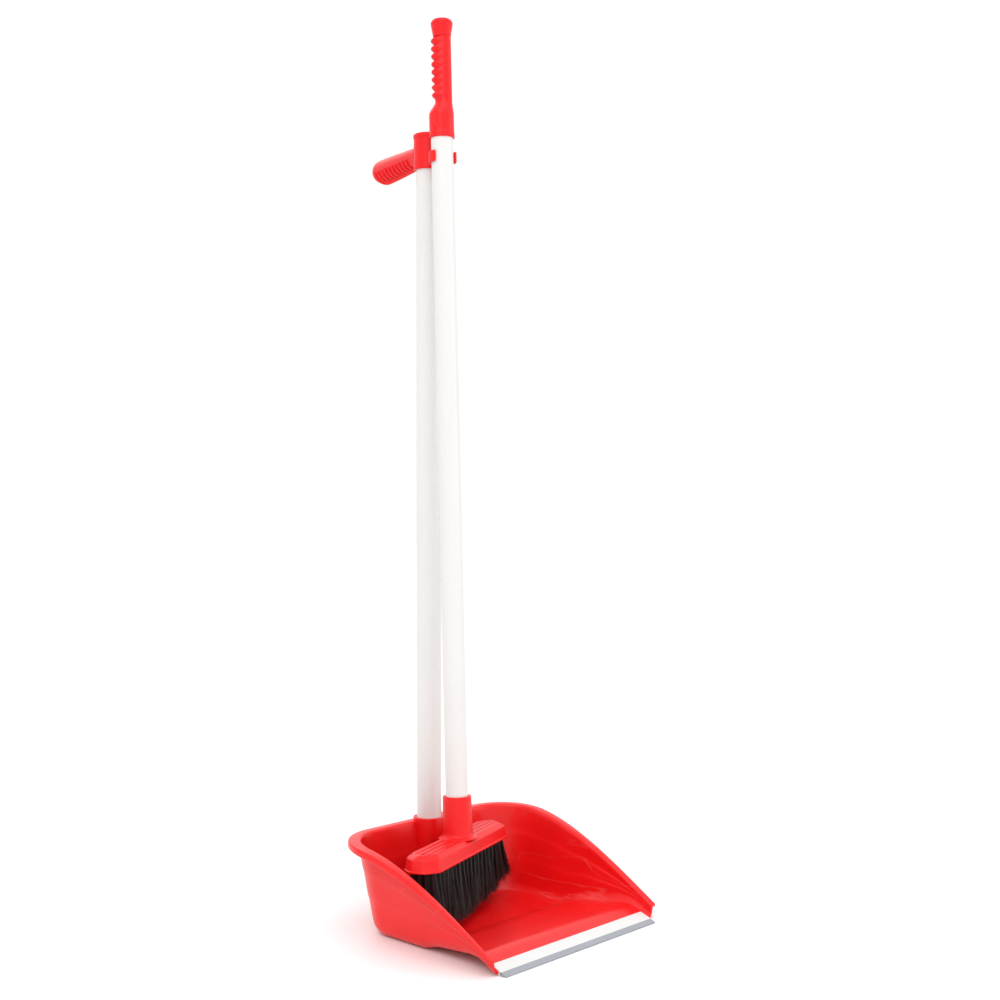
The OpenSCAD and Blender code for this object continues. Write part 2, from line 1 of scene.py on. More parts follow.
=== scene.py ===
# %% [markdown]
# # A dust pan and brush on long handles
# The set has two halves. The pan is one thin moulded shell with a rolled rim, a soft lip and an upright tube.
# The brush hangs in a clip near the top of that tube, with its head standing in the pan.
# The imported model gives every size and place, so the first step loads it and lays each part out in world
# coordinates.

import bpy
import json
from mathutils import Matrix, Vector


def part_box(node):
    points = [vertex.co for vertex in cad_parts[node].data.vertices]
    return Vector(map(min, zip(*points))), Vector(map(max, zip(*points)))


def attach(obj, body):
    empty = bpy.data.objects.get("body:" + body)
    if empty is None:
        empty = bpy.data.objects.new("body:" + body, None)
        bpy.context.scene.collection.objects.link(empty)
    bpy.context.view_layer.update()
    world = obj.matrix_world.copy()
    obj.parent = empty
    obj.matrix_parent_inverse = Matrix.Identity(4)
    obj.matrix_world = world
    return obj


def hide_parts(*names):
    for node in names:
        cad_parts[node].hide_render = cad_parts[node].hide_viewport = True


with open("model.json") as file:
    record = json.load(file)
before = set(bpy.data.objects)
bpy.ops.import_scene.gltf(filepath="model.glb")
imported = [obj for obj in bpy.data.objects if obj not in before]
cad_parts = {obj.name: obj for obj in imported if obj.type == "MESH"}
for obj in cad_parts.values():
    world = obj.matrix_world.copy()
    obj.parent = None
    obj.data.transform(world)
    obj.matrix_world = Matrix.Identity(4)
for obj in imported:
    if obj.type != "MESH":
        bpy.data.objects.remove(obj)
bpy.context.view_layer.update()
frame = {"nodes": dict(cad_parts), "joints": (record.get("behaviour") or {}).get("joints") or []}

# %% Libraries
import json
import math

import bmesh
import bpy
import numpy as np
from mathutils import Matrix, Vector

# %% [markdown]
# Plastic parts are drawn in millimetres, so this lesson models in millimetres too and shrinks each mesh to
# metres at the very end. The places come from the frame: the tube's axis from its box, the brush's axis from
# its joint.

# %% Places from the frame, in millimetres
PER_METRE = 1000.0


def box_mm(node):
    low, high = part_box(node)
    return np.array(low) * PER_METRE, np.array(high) * PER_METRE


pan_high = box_mm("pan_body")[1]
blade_low = box_mm("lip_blade")[0]
strip_low, strip_high = box_mm("lip_strip")
pan_skin_low, pan_skin_high = box_mm("pan_tube_skin")
pan_steel_low, pan_steel_high = box_mm("pan_tube")

front_y = blade_low[1]
tube_y = (pan_skin_low[1] + pan_skin_high[1]) / 2
pan_tube_r = (pan_skin_high[0] - pan_skin_low[0]) / 2
turn_joint = next(j for j in frame["joints"] if j["name"] == "brush_turn")
foot_at = np.array(turn_joint["pos_m"]) * PER_METRE
lean_v = np.array(turn_joint["axis"])
print("front edge y", round(front_y, 2), "tube axis y", round(tube_y, 2), "tube radius", round(pan_tube_r, 2))

# %% [markdown]
# Three small tools place things: a turn about one axis, the leaning frame of the brush, and the turned frame of
# the bracket. A place is a 4 by 4 matrix in millimetres, so it can be multiplied with any point of a piece.

# %% Frames for the brush and the bracket
brush_yaw = 20.0
bracket_turn = -19.0
grip_side = -42.0


def turned(degrees, axis):
    return np.array(Matrix.Rotation(math.radians(degrees), 4, axis))


def moved(x, y, z):
    return np.array(Matrix.Translation((x, y, z)))


lean_x = -math.degrees(math.asin(lean_v[1]))
lean_y = math.degrees(math.atan2(lean_v[0], lean_v[2]))
on_brush = moved(*foot_at) @ turned(lean_y, "Y") @ turned(lean_x, "X")
on_head = on_brush @ turned(brush_yaw, "Z")
on_bracket = moved(0, tube_y, 0) @ turned(bracket_turn, "Z")
print("the brush leans", round(lean_x, 2), "and", round(lean_y, 2), "degrees")

# %% [markdown]
# Most of these parts are either turned, like a socket, or lofted, like the pan's wall. Both are a sheet of points
# in rows and columns, so one helper joins such a sheet into faces. Doubles are merged afterwards, which closes
# seams and poles, and the normals are made to point outwards.


# %% Sheets of points to meshes
def sheet_faces(rows, columns, start=0, wrap=False):
    faces = []
    for i in range(rows - 1):
        for j in range(columns if wrap else columns - 1):
            k = (j + 1) % columns
            a = start + i * columns
            faces.append((a + j, a + k, a + columns + k, a + columns + j))
    return faces


def make_piece(name, sheets, material, place=None, sharp=38):
    """Joins sheets of points, [(rows x columns x 3 array, wrap)], into one closed smooth mesh at its place."""
    mesh = bpy.data.meshes.new(name)
    points = []
    faces = []
    for grid, wrap in sheets:
        rows, columns = grid.shape[:2]
        faces += sheet_faces(rows, columns, len(points), wrap)
        points += [tuple(p) for p in grid.reshape(-1, 3)]
    mesh.from_pydata(points, [], faces)
    work = bmesh.new()
    work.from_mesh(mesh)
    bmesh.ops.remove_doubles(work, verts=work.verts, dist=0.001)
    bmesh.ops.dissolve_degenerate(work, edges=work.edges, dist=0.0005)
    bmesh.ops.recalc_face_normals(work, faces=work.faces)
    work.to_mesh(mesh)
    work.free()
    to_metres = np.array(Matrix.Scale(1 / PER_METRE, 4))
    mesh.transform(Matrix(to_metres @ (np.eye(4) if place is None else place)))
    mesh.polygons.foreach_set("use_smooth", [True] * len(mesh.polygons))
    mesh.set_sharp_from_angle(angle=math.radians(sharp))
    mesh.materials.append(material)
    piece = bpy.data.objects.new(name, mesh)
    bpy.context.scene.collection.objects.link(piece)
    print(name, len(mesh.polygons), "faces")
    return piece


def soften(points, radius, steps=4, closed=False):
    """Rounds the corners of an outline: each corner becomes a short curve that starts radius before it."""
    points = np.array(points, float)
    count = len(points)
    out = []
    for i in range(count):
        here = points[i]
        if not closed and i in (0, count - 1):
            out.append(here)
            continue
        before = points[i - 1] - here
        after = points[(i + 1) % count] - here
        a = here + before * min(radius / max(np.linalg.norm(before), 1e-6), 0.45)
        b = here + after * min(radius / max(np.linalg.norm(after), 1e-6), 0.45)
        for t in np.linspace(0, 1, steps + 1):
            out.append((1 - t) ** 2 * a + 2 * t * (1 - t) * here + t * t * b)
    return np.array(out)


def lathe(outline, around=128):
    """Turns an outline of (radius, height) points about Z into a sheet that wraps."""
    angles = np.linspace(0, 2 * math.pi, around, endpoint=False)
    sheet = np.empty((len(outline), around, 3))
    sheet[:, :, 0] = np.outer(outline[:, 0], np.cos(angles))
    sheet[:, :, 1] = np.outer(outline[:, 0], np.sin(angles))
    sheet[:, :, 2] = outline[:, 1][:, None]
    return sheet, True


def show_as(piece, body, slot, *nodes):
    """The piece rides on a body and stands for its CAD nodes. The slot is not used."""
    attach(piece, body)
    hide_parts(*nodes)


# %% [markdown]
# A material is a small network of nodes. Writing each link by hand is long, so one helper adds a node with its
# settings, its values and its links in one call, and works for shaders and for Geometry Nodes.


# %% A helper for node trees
def pick(sockets, key):
    if isinstance(key, int):
        return sockets[key]
    return next(s for s in sockets if s.name == key and s.enabled)


def add_node(tree, kind, values=None, **settings):
    node = tree.nodes.new(kind)
    for key, value in settings.items():
        setattr(node, key, value)
    for key, value in (values or {}).items():
        socket = pick(node.inputs, key)
        if isinstance(value, bpy.types.NodeSocket):
            tree.links.new(value, socket)
        else:
            socket.default_value = value
    return node


def calc(tree, operation, a, b=0.0):
    return add_node(tree, "ShaderNodeMath", {0: a, 1: b}, operation=operation).outputs[0]


def vector_calc(tree, operation, a, b):
    return add_node(tree, "ShaderNodeVectorMath", {0: a, 1: b}, operation=operation).outputs[0]


def new_tree(name, kind, inputs, outputs):
    """A node group with named sockets, [(name, socket type, value or None)], and its two ends."""
    tree = bpy.data.node_groups.new(name, kind)
    for in_out, sockets in (("INPUT", inputs), ("OUTPUT", outputs)):
        for socket_name, socket_type, value in sockets:
            socket = tree.interface.new_socket(name=socket_name, in_out=in_out, socket_type=socket_type)
            if value is not None:
                socket.default_value = value
    return tree, tree.nodes.new("NodeGroupInput"), tree.nodes.new("NodeGroupOutput")


# %% [markdown]
# Moulded plastic is never one flat colour. The pigment clouds a little where the melt flowed, the gloss swings
# with it, and the steel mould leaves a fine skin that only shows in highlights. Every plastic of the set has
# this, so it is one group that each material uses with its own colour, cloud size and gloss.

# %% Group: moulded skin
FLOAT = "NodeSocketFloat"
COLOUR = "NodeSocketColor"
VECTOR = "NodeSocketVector"

skin_group, skin_in, skin_out = new_tree(
    "Moulded skin",
    "ShaderNodeTree",
    [
        ("Colour", COLOUR, (0.5, 0.5, 0.5, 1.0)),
        ("Cloud scale", FLOAT, 18.0),
        ("Cloud strength", FLOAT, 0.1),
        ("Grain scale", FLOAT, 900.0),
        ("Roughness", FLOAT, 0.3),
        ("Gloss swing", FLOAT, 0.12),
    ],
    [("Colour", COLOUR, None), ("Roughness", FLOAT, None), ("Height", FLOAT, None)],
)
where = add_node(skin_group, "ShaderNodeTexCoord").outputs["Object"]
cloud = add_node(
    skin_group,
    "ShaderNodeTexNoise",
    {"Vector": where, "Scale": skin_in.outputs["Cloud scale"], "Detail": 5.0, "Distortion": 0.8},
).outputs[0]
grain = add_node(
    skin_group, "ShaderNodeTexNoise", {"Vector": where, "Scale": skin_in.outputs["Grain scale"], "Detail": 2.0}
).outputs[0]
off_middle = calc(skin_group, "SUBTRACT", cloud, 0.5)
lift = calc(skin_group, "MULTIPLY_ADD", off_middle, skin_in.outputs["Cloud strength"])
lift.node.inputs[2].default_value = 1.0
tinted = vector_calc(skin_group, "SCALE", skin_in.outputs["Colour"], (0, 0, 0))
skin_group.links.new(lift, tinted.node.inputs["Scale"])
skin_group.links.new(tinted, skin_out.inputs["Colour"])
swing = calc(skin_group, "MULTIPLY_ADD", off_middle, skin_in.outputs["Gloss swing"])
skin_group.links.new(skin_in.outputs["Roughness"], swing.node.inputs[2])
skin_group.links.new(swing, skin_out.inputs["Roughness"])
skin_group.links.new(grain, skin_out.inputs["Height"])
print("group", skin_group.name)

# %% [markdown]
# A pan is pushed along floors and its handles are knocked against doors. That leaves hair scratches: short,
# in one main direction and in patches. A stretched noise cut to a thin band gives lines, and a second, slow
# noise switches them on in patches only.

# %% Group: hair scratches
scratch_group, scratch_in, scratch_out = new_tree(
    "Hair scratches",
    "ShaderNodeTree",
    [("Stretch", VECTOR, (1.0, 1.0, 1.0)), ("Line width", FLOAT, 0.012), ("Amount", FLOAT, 0.5)],
    [("Mask", FLOAT, None)],
)
where = add_node(scratch_group, "ShaderNodeTexCoord").outputs["Object"]
stretched = vector_calc(scratch_group, "MULTIPLY", where, scratch_in.outputs["Stretch"])
lines = add_node(
    scratch_group, "ShaderNodeTexNoise", {"Vector": stretched, "Scale": 60.0, "Detail": 3.0}
).outputs[0]
from_band = calc(scratch_group, "ABSOLUTE", calc(scratch_group, "SUBTRACT", lines, 0.5))
in_band = calc(scratch_group, "LESS_THAN", from_band, scratch_in.outputs["Line width"])
patches = add_node(
    scratch_group, "ShaderNodeTexNoise", {"Vector": where, "Scale": 14.0, "Detail": 2.0}
).outputs[0]
in_patch = add_node(
    scratch_group, "ShaderNodeMapRange", {"Value": patches, "From Min": 0.5, "From Max": 0.68}
).outputs[0]
both = calc(scratch_group, "MULTIPLY", in_band, in_patch)
mask = calc(scratch_group, "MULTIPLY", both, scratch_in.outputs["Amount"])
scratch_group.links.new(mask, scratch_out.inputs["Mask"])
print("group", scratch_group.name)

# %% [markdown]
# The lip and the skins of the tubes are extruded: pulled through a die, which draws very fine lines along them.
# One group makes such lines. Its stretch input is small along the piece, which smears the noise that way.

# %% Group: die lines
die_group, die_in, die_out = new_tree(
    "Die lines",
    "ShaderNodeTree",
    [("Stretch", VECTOR, (1.0, 1.0, 1.0)), ("Line scale", FLOAT, 400.0)],
    [("Lines", FLOAT, None)],
)
where = add_node(die_group, "ShaderNodeTexCoord").outputs["Object"]
stretched = vector_calc(die_group, "MULTIPLY", where, die_in.outputs["Stretch"])
lines = add_node(
    die_group, "ShaderNodeTexNoise", {"Vector": stretched, "Scale": die_in.outputs["Line scale"], "Detail": 4.0}
).outputs[0]
die_group.links.new(lines, die_out.inputs["Lines"])
print("group", die_group.name)

# %% [markdown]
# Each plastic now needs a colour, a gloss and the two groups. The scratches are duller and slightly paler than
# the plastic round them, as real ones are, so their mask moves both colour and roughness.


# %% Materials made of moulded plastic
def plastic(name, colour, roughness, cloud=0.12, cloud_scale=18.0, scratches=0.35, stretch=(1, 1, 1), coat=0.0,
            lines=0.0, bump=0.06, grain_scale=900.0):
    material = bpy.data.materials.new(name)
    material.use_nodes = True
    tree = material.node_tree
    shader = tree.nodes["Principled BSDF"]
    skin = add_node(
        tree,
        "ShaderNodeGroup",
        node_tree=skin_group,
    )
    for key, value in {
        "Colour": (*colour, 1.0),
        "Cloud scale": cloud_scale,
        "Cloud strength": cloud,
        "Grain scale": grain_scale,
        "Roughness": roughness,
    }.items():
        skin.inputs[key].default_value = value
    marks = add_node(tree, "ShaderNodeGroup", node_tree=scratch_group)
    marks.inputs["Stretch"].default_value = stretch
    marks.inputs["Amount"].default_value = scratches
    paler = add_node(
        tree, "ShaderNodeMix", {"B": (*[min(1.0, 0.25 + 0.8 * c) for c in colour], 1.0)}, data_type="RGBA"
    )
    tree.links.new(calc(tree, "MULTIPLY", marks.outputs["Mask"], 0.35), paler.inputs["Factor"])
    tree.links.new(skin.outputs["Colour"], pick(paler.inputs, "A"))
    tree.links.new(pick(paler.outputs, "Result"), shader.inputs["Base Color"])
    duller = calc(tree, "MULTIPLY_ADD", marks.outputs["Mask"], 0.35)
    tree.links.new(skin.outputs["Roughness"], duller.node.inputs[2])
    tree.links.new(duller, shader.inputs["Roughness"])
    height = skin.outputs["Height"]
    if lines:
        die = add_node(tree, "ShaderNodeGroup", node_tree=die_group)
        die.inputs["Stretch"].default_value = stretch
        height = calc(tree, "ADD", calc(tree, "MULTIPLY", die.outputs["Lines"], lines), height)
    raised = add_node(tree, "ShaderNodeBump", {"Height": height, "Strength": bump, "Distance": 0.0004})
    tree.links.new(raised.outputs["Normal"], shader.inputs["Normal"])
    shader.inputs["Specular IOR Level"].default_value = 0.3
    shader.inputs["Coat Weight"].default_value = coat
    shader.inputs["Coat Roughness"].default_value = 0.12
    return material


pan_red = plastic(
    "Pan red", (0.77, 0.0045, 0.0055), 0.34, cloud=0.22, scratches=0.30, stretch=(1, 0.12, 0.6), coat=0.15
)
head_red = plastic(
    "Brush block red", (0.74, 0.007, 0.008), 0.36, cloud=0.18, scratches=0.2, stretch=(0.2, 1, 1)
)
grip_red = plastic(
    "Grip red", (0.76, 0.005, 0.008), 0.40, cloud=0.15, scratches=0.25, stretch=(1, 1, 0.2), bump=0.16
)
tube_white = plastic(
    "Tube white",
    (0.70, 0.69, 0.675),
    0.24,
    cloud=0.05,
    scratches=0.18,
    stretch=(1, 1, 0.02),
    coat=0.35,
    lines=1.0,
)
strip_white = plastic(
    "Strip white",
    (0.68, 0.68, 0.67),
    0.42,
    cloud=0.06,
    scratches=0.3,
    stretch=(0.01, 1, 1),
    lines=2.0,
    bump=0.12,
)
blade_grey = plastic(
    "Blade grey",
    (0.31, 0.325, 0.36),
    0.55,
    cloud=0.10,
    scratches=0.3,
    stretch=(0.01, 1, 1),
    lines=2.5,
    bump=0.2,
)
ferrule_grey = plastic("Ferrule grey", (0.30, 0.30, 0.31), 0.5, cloud=0.1)
print("plastics:", [m.name for m in bpy.data.materials if m.use_nodes])

# %% [markdown]
# The screws, the tubes' cores and the staples in the block are zinc-plated steel. Plating has small bright
# and dull grains, so a cell pattern swings the roughness, and the shader's Metallic is simply one.

# %% Material: plated steel
steel = bpy.data.materials.new("Plated steel")
steel.use_nodes = True
steel_shader = steel.node_tree.nodes["Principled BSDF"]
steel_shader.inputs["Metallic"].default_value = 1.0
where = add_node(steel.node_tree, "ShaderNodeTexCoord").outputs["Object"]
cells = add_node(steel.node_tree, "ShaderNodeTexVoronoi", {"Vector": where, "Scale": 900.0})
spangle = add_node(
    steel.node_tree, "ShaderNodeMapRange", {"Value": cells.outputs["Distance"], "To Min": 0.22, "To Max": 0.42}
)
steel.node_tree.links.new(spangle.outputs[0], steel_shader.inputs["Roughness"])
plated = add_node(
    steel.node_tree,
    "ShaderNodeMix",
    {"Factor": cells.outputs["Distance"], "A": (0.55, 0.56, 0.58, 1.0), "B": (0.68, 0.68, 0.69, 1.0)},
    data_type="RGBA",
)
steel.node_tree.links.new(pick(plated.outputs, "Result"), steel_shader.inputs["Base Color"])

# %% [markdown]
# The bristles are split polypropylene, almost black. Seen close, single ones differ in tone, and the split
# tips are a little browner. The Geometry Nodes tree will store a tone for each bristle and how far down it a
# point lies, and the material reads both.

# %% Material: bristles
TONE = "bristle_tone"
DOWN = "bristle_down"

bristle_black = bpy.data.materials.new("Bristle black")
bristle_black.use_nodes = True
tree = bristle_black.node_tree
bristle_shader = tree.nodes["Principled BSDF"]
tone = add_node(tree, "ShaderNodeAttribute", attribute_name=TONE).outputs["Fac"]
down = add_node(tree, "ShaderNodeAttribute", attribute_name=DOWN).outputs["Fac"]
worn = calc(tree, "MULTIPLY", tone, calc(tree, "POWER", down, 3.0))
shade = add_node(
    tree, "ShaderNodeMix", {"Factor": tone, "A": (0.0045, 0.0042, 0.0045, 1.0), "B": (0.016, 0.014, 0.014, 1.0)},
    data_type="RGBA",
)
tipped = add_node(tree, "ShaderNodeMix", {"Factor": worn, "B": (0.040, 0.030, 0.026, 1.0)}, data_type="RGBA")
tree.links.new(pick(shade.outputs, "Result"), pick(tipped.inputs, "A"))
tree.links.new(pick(tipped.outputs, "Result"), bristle_shader.inputs["Base Color"])
gloss = add_node(tree, "ShaderNodeMapRange", {"Value": tone, "To Min": 0.30, "To Max": 0.52})
tree.links.new(gloss.outputs[0], bristle_shader.inputs["Roughness"])

# %% [markdown]
# ## The pan
# The pan is one thin shell. Its floor climbs a short ramp behind the lip, runs on a deck, and drops to a sump
# at the back. Its wall grows from the front ends to a high back and ends in a rim that is rolled outwards.
# One rule gives all of that: a section through the wall that changes with its distance behind the lip. The
# shell is that section carried round the pan, plus rows of points across the floor.

# %% Sizes of the pan
wall = 2.2
rim_w = 13.0
rim_front_w = 5.5
rim_front_h = 9.5
rim_drop = 7.0
corner_r = 42.0
wall_draft = 9.5
tube_inboard = 14.0
floor_fillet = 8.0
crest_h = 13.0
crest_in = 32.0
deck_h = 8.0
step_in = 86.0
step_len = 26.0
band_step = 0.8
blade_out = 6.0
strip_w = 12.0
strip_t = 1.4
socket_wall = 3.4
boss_up = 2.5

half_w = pan_high[0] - rim_w
pan_height = pan_high[2] - boss_up
pan_depth = tube_y - front_y + tube_inboard
strip_in = blade_out + strip_w
tongue_in = blade_out + 2.8
back_in = pan_depth - rim_w
arc_in = back_in - corner_r
print("pan", round(2 * half_w, 1), "wide", round(pan_depth, 1), "deep", round(pan_height, 1), "high")


# %% The rules of the floor and the wall
def smooth(t):
    c = np.clip(t, 0, 1)
    return c * c * (3 - 2 * c)


def mix(a, b, t):
    return a + (b - a) * t


ramp_foot = 1.2


def ramp_z(d):
    return mix(ramp_foot, crest_h, d / crest_in)


def sharp_floor_z(d):
    if d <= crest_in:
        return ramp_z(d)
    if d <= step_in:
        return mix(crest_h, deck_h, (d - crest_in) / (step_in - crest_in))
    return mix(deck_h, wall, smooth((d - step_in) / step_len))


def floor_z(d):
    """Height of the floor, a step lower under the strip, with the crest of the ramp rounded over."""
    if d <= strip_in + 0.01:
        return ramp_z(d) - (strip_t if d <= strip_in else 0)
    reach = min(5.0, d - strip_in)
    return float(np.mean([sharp_floor_z(d + o) for o in np.linspace(-reach, reach, 9)]))


def rim_z(d):
    return mix(rim_front_h, pan_height, math.sin(math.pi / 2 * min(1, d / (0.93 * pan_depth))))


def wall_section(d):
    """The section at distance d, as (outwards, up): up the inside, over the rim and down the outside."""
    zf = floor_z(d)
    zr = rim_z(d)
    q = (zr - zf) * math.tan(math.radians(wall_draft))
    r = min(floor_fillet, 0.3 * (zr - zf))
    w = mix(rim_front_w, rim_w, smooth(d / arc_in))
    h = mix(3, rim_drop, smooth(d / arc_in))
    top = min(2.5, 0.3 * (zr - zf))
    z1 = zf + r
    z2 = zr - top
    ro = min(2.4, 0.4 * (w - 2 * wall))
    b = band_step * smooth(d / step_in)
    za, zb, zc, zd = (mix(z1, z2, t) for t in (0.30, 0.36, 0.64, 0.70))
    floor_t = 1.8 if d <= strip_in else wall

    def lean(z):
        return -q * (zr - z) / (zr - zf)

    inside = [
        (lean(zf) - r, zf), (lean(zf) - r * 0.5, zf + r * 0.13), (lean(zf) - r * 0.13, zf + r * 0.5),
        (lean(z1), z1), (lean(za), za), (lean(zb) + b, zb), (lean(zc) + b, zc), (lean(zd) + 2 * b, zd),
        (lean(z2) + b, z2), (top * 0.3 + b, zr - top * 0.3), (top + b, zr), (w - ro, zr),
        (w - ro * 0.3, zr - ro * 0.3), (w, zr - ro), (w, zr - h),
    ]
    outside = [
        (w - wall, zr - h), (w - wall, zr - wall - ro * 0.6), (w - wall - ro * 0.3, zr - wall),
        (w - wall - ro * 0.5, zr - wall), (wall + ro * 0.8 + b * 0.2, zr - wall),
        (wall + ro * 0.3 + b * 0.2, zr - wall - top * 0.3), (lean(z2 - wall * 0.3) + wall + b, z2 - wall),
        (lean(zd) + wall + 2 * b, zd - 0.2), (lean(zc) + wall + b, zc - 0.2), (lean(zb) + wall + b, zb - 0.2),
        (lean(za) + wall, za - 0.2), (lean(z1) + wall, z1 - 0.2),
        (lean(zf) - r * 0.13 + wall * 0.7, zf + r * 0.5 - wall * 0.7),
        (lean(zf) - r * 0.5 + wall * 0.25, zf + r * 0.13 - wall), (lean(zf) - r, zf - floor_t),
    ]
    return cut_corners(np.array(inside + outside))


def cut_corners(points, times=2):
    """Chaikin's rule: every corner is replaced by two points, which turns a coarse outline into a soft one."""
    for _ in range(times):
        a = points[:-1]
        b = points[1:]
        between = np.empty((2 * len(a), points.shape[1]))
        between[0::2] = 0.75 * a + 0.25 * b
        between[1::2] = 0.25 * a + 0.75 * b
        points = np.vstack([points[:1], between, points[-1:]])
    return points


# %% [markdown]
# The stations go back along the left wall, round a corner and along half of the back, and the right side is
# their mirror image. The rows across the floor join each left station to its twin on the right.

# %% Carry the section round the pan
side_stations = 70
arc_stations = 20
back_stations = 28

depths = [tongue_in, mix(tongue_in, strip_in, 0.5), strip_in, strip_in + 0.05]
depths += [mix(strip_in, arc_in, i / side_stations) for i in range(1, side_stations + 1)]
left = [((-half_w, d), (-1, 0), d) for d in depths]
for i in range(1, arc_stations + 1):
    a = math.pi / 2 * i / arc_stations
    d = arc_in + corner_r * math.sin(a)
    left.append(((-half_w + corner_r * (1 - math.cos(a)), d), (-math.cos(a), math.sin(a)), d))
flat_x = half_w - corner_r
back = [((mix(-flat_x, flat_x, i / back_stations), back_in), (0, 1), back_in) for i in range(1, back_stations)]
right = [((-p[0], p[1]), (-n[0], n[1]), d) for p, n, d in reversed(left)]

rings = []
for place, out, d in left + back + right:
    section = wall_section(d)
    ring = np.empty((len(section), 3))
    ring[:, 0] = place[0] + out[0] * section[:, 0]
    ring[:, 1] = front_y + place[1] + out[1] * section[:, 0]
    ring[:, 2] = section[:, 1]
    rings.append(ring)
wall_sheet = np.array(rings)


def floor_sheet(column):
    """Rows across the floor between mirror stations, on the upper (0) or lower (-1) skin."""
    start = wall_sheet[: len(left), column]
    end = wall_sheet[::-1][: len(left), column]
    across = np.linspace(0, 1, back_stations + 1)
    sheet = start[:, None, :] + (end - start)[:, None, :] * across[None, :, None]
    sheet[-1] = wall_sheet[len(left) - 1 : len(left) + back_stations, column]
    return sheet


upper = floor_sheet(0)
lower = floor_sheet(-1)
front_face = np.array([upper[0], lower[0]])
half = wall_sheet.shape[1] // 2
end_faces = [np.array([wall_sheet[k, :half], wall_sheet[k, ::-1][:half]]) for k in (0, -1)]
pan_sheets = [(s, False) for s in (wall_sheet, upper, lower, front_face, *end_faces)]
pan_shell = make_piece("pan_shell", pan_sheets, pan_red, sharp=50)

# %% [markdown]
# The tube stands in a round socket that is moulded onto the back wall. It is a turned part with softened
# edges, open at the top, and it stands a little above the rim.

# %% The socket on the pan
boss_r = pan_tube_r + socket_wall
boss_low = 12.0
bore_r = pan_tube_r + 0.05
boss_outline = soften(
    [(0, boss_low), (boss_r, boss_low), (boss_r, pan_high[2]), (bore_r, pan_high[2]), (bore_r, pan_steel_low[2]),
     (0, pan_steel_low[2])],
    1.1,
)
pan_socket = make_piece("pan_socket", [lathe(boss_outline)], pan_red, moved(0, tube_y, 0))
show_as(pan_shell, "pan", "red_plastic", "pan_body")
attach(pan_socket, "pan")

# %% [markdown]
# ## The lip
# A white strip is clipped over the front edge of the floor and holds a grey blade of soft plastic that touches
# the floor of the room. Both are extrusions, so each is an outline with softened corners pulled across the pan.


# %% The strip and the blade
def across_pan(outline, length, columns=24):
    """Pulls a closed outline of (distance behind the blade's edge, height) across the pan, with closed ends."""
    xs = np.linspace(-length / 2, length / 2, columns)
    sheet = np.empty((columns, len(outline), 3))
    sheet[:, :, 0] = xs[:, None]
    sheet[:, :, 1] = front_y + outline[:, 0]
    sheet[:, :, 2] = outline[:, 1]
    ends = []
    for k in (0, -1):
        middle = np.repeat(sheet[k].mean(axis=0)[None, :], len(outline), axis=0)
        ends.append((np.array([sheet[k], middle]), True))
    return [(sheet, True), *ends]


strip_len = strip_high[0] - strip_low[0]
nip = 0.1
strip_foot = strip_low[2]
strip_outline = soften(
    [(blade_out, strip_foot), (blade_out, ramp_z(blade_out)), (strip_in - nip, ramp_z(strip_in) - 0.05),
     (strip_in - nip, ramp_z(strip_in) - strip_t + nip), (tongue_in - nip, ramp_z(tongue_in) - strip_t + nip),
     (tongue_in - nip, ramp_z(tongue_in) - strip_t - 1.9), (strip_in - 2, ramp_z(strip_in - 2) - strip_t - 1.9),
     (strip_in - 2, ramp_z(strip_in - 2) - strip_t - 2.8), (tongue_in + 2, strip_foot)],
    0.45,
    closed=True,
)
strip = make_piece("lip_strip_look", across_pan(strip_outline, strip_len), strip_white)
blade_outline = soften(
    [(0, 0.02), (0, 0.9), (blade_out - nip, ramp_z(blade_out) - 0.35), (blade_out + 1.2, 2.2), (blade_out + 1.2, 1.1),
     (blade_out - nip, 0.5)],
    0.3,
    closed=True,
)
blade = make_piece("lip_blade_look", across_pan(blade_outline, strip_len), blade_grey)
show_as(strip, "pan", "white_plastic", "lip_strip")
show_as(blade, "pan", "grey_blade", "lip_blade")

# %% [markdown]
# ## The tubes
# Both tubes are thin steel in a shrunk white skin. The skin has a lap seam along its length, a shallow line
# that a perfectly round tube would lack, so the radius dips a little at one angle.


# %% A tube with a seam
def skinned_tube(name, low, high, radius, place, seam_at):
    angles = np.linspace(0, 2 * math.pi, 180, endpoint=False)
    off_seam = np.degrees(np.abs((angles - math.radians(seam_at) + math.pi) % (2 * math.pi) - math.pi))
    outer = radius - 0.12 * np.exp(-((off_seam / 2.5) ** 2))
    rows = [(1.0, 0.0, t) for t in np.linspace(low, high, 24)]
    inner = radius - 1.0
    sheet = np.array(
        [
            np.stack([outer * np.cos(angles), outer * np.sin(angles), np.full_like(angles, t)], axis=1)
            for _, _, t in rows
        ]
        + [np.stack([inner * np.cos(angles), inner * np.sin(angles), np.full_like(angles, t)], axis=1)
           for t in (high, low)]
    )
    sheet = np.concatenate([sheet, sheet[:1]])
    return make_piece(name, [(sheet, True)], tube_white, place)


pan_pole = skinned_tube("pan_pole", pan_steel_low[2], pan_steel_high[2], pan_tube_r, moved(0, tube_y, 0), 100)
show_as(pan_pole, "pan", "white_skin", "pan_tube", "pan_tube_skin")

# %% [markdown]
# The brush's tube ends in the block's socket below and in the grip above. Its length along the leaning axis is
# found by turning its corners back into the brush's own frame.

# %% The brush's tube
brush_tube_d = 22.0
block_low = 60.0
block_side = 12.0
block_crown = 4.0
block_top = block_low + block_side + block_crown
block_socket_h = 40.0
tube_seat = block_top + 12.4
grip_start = 761.99
grip_len = 118.0
collar_h = 25.0
brush_tube_top = grip_start + collar_h - 3
brush_r = brush_tube_d / 2
brush_pole = skinned_tube("brush_pole", tube_seat, brush_tube_top, brush_r, on_brush, 60)
show_as(brush_pole, "brush_handle", "white_skin", "brush_tube", "brush_tube_skin")

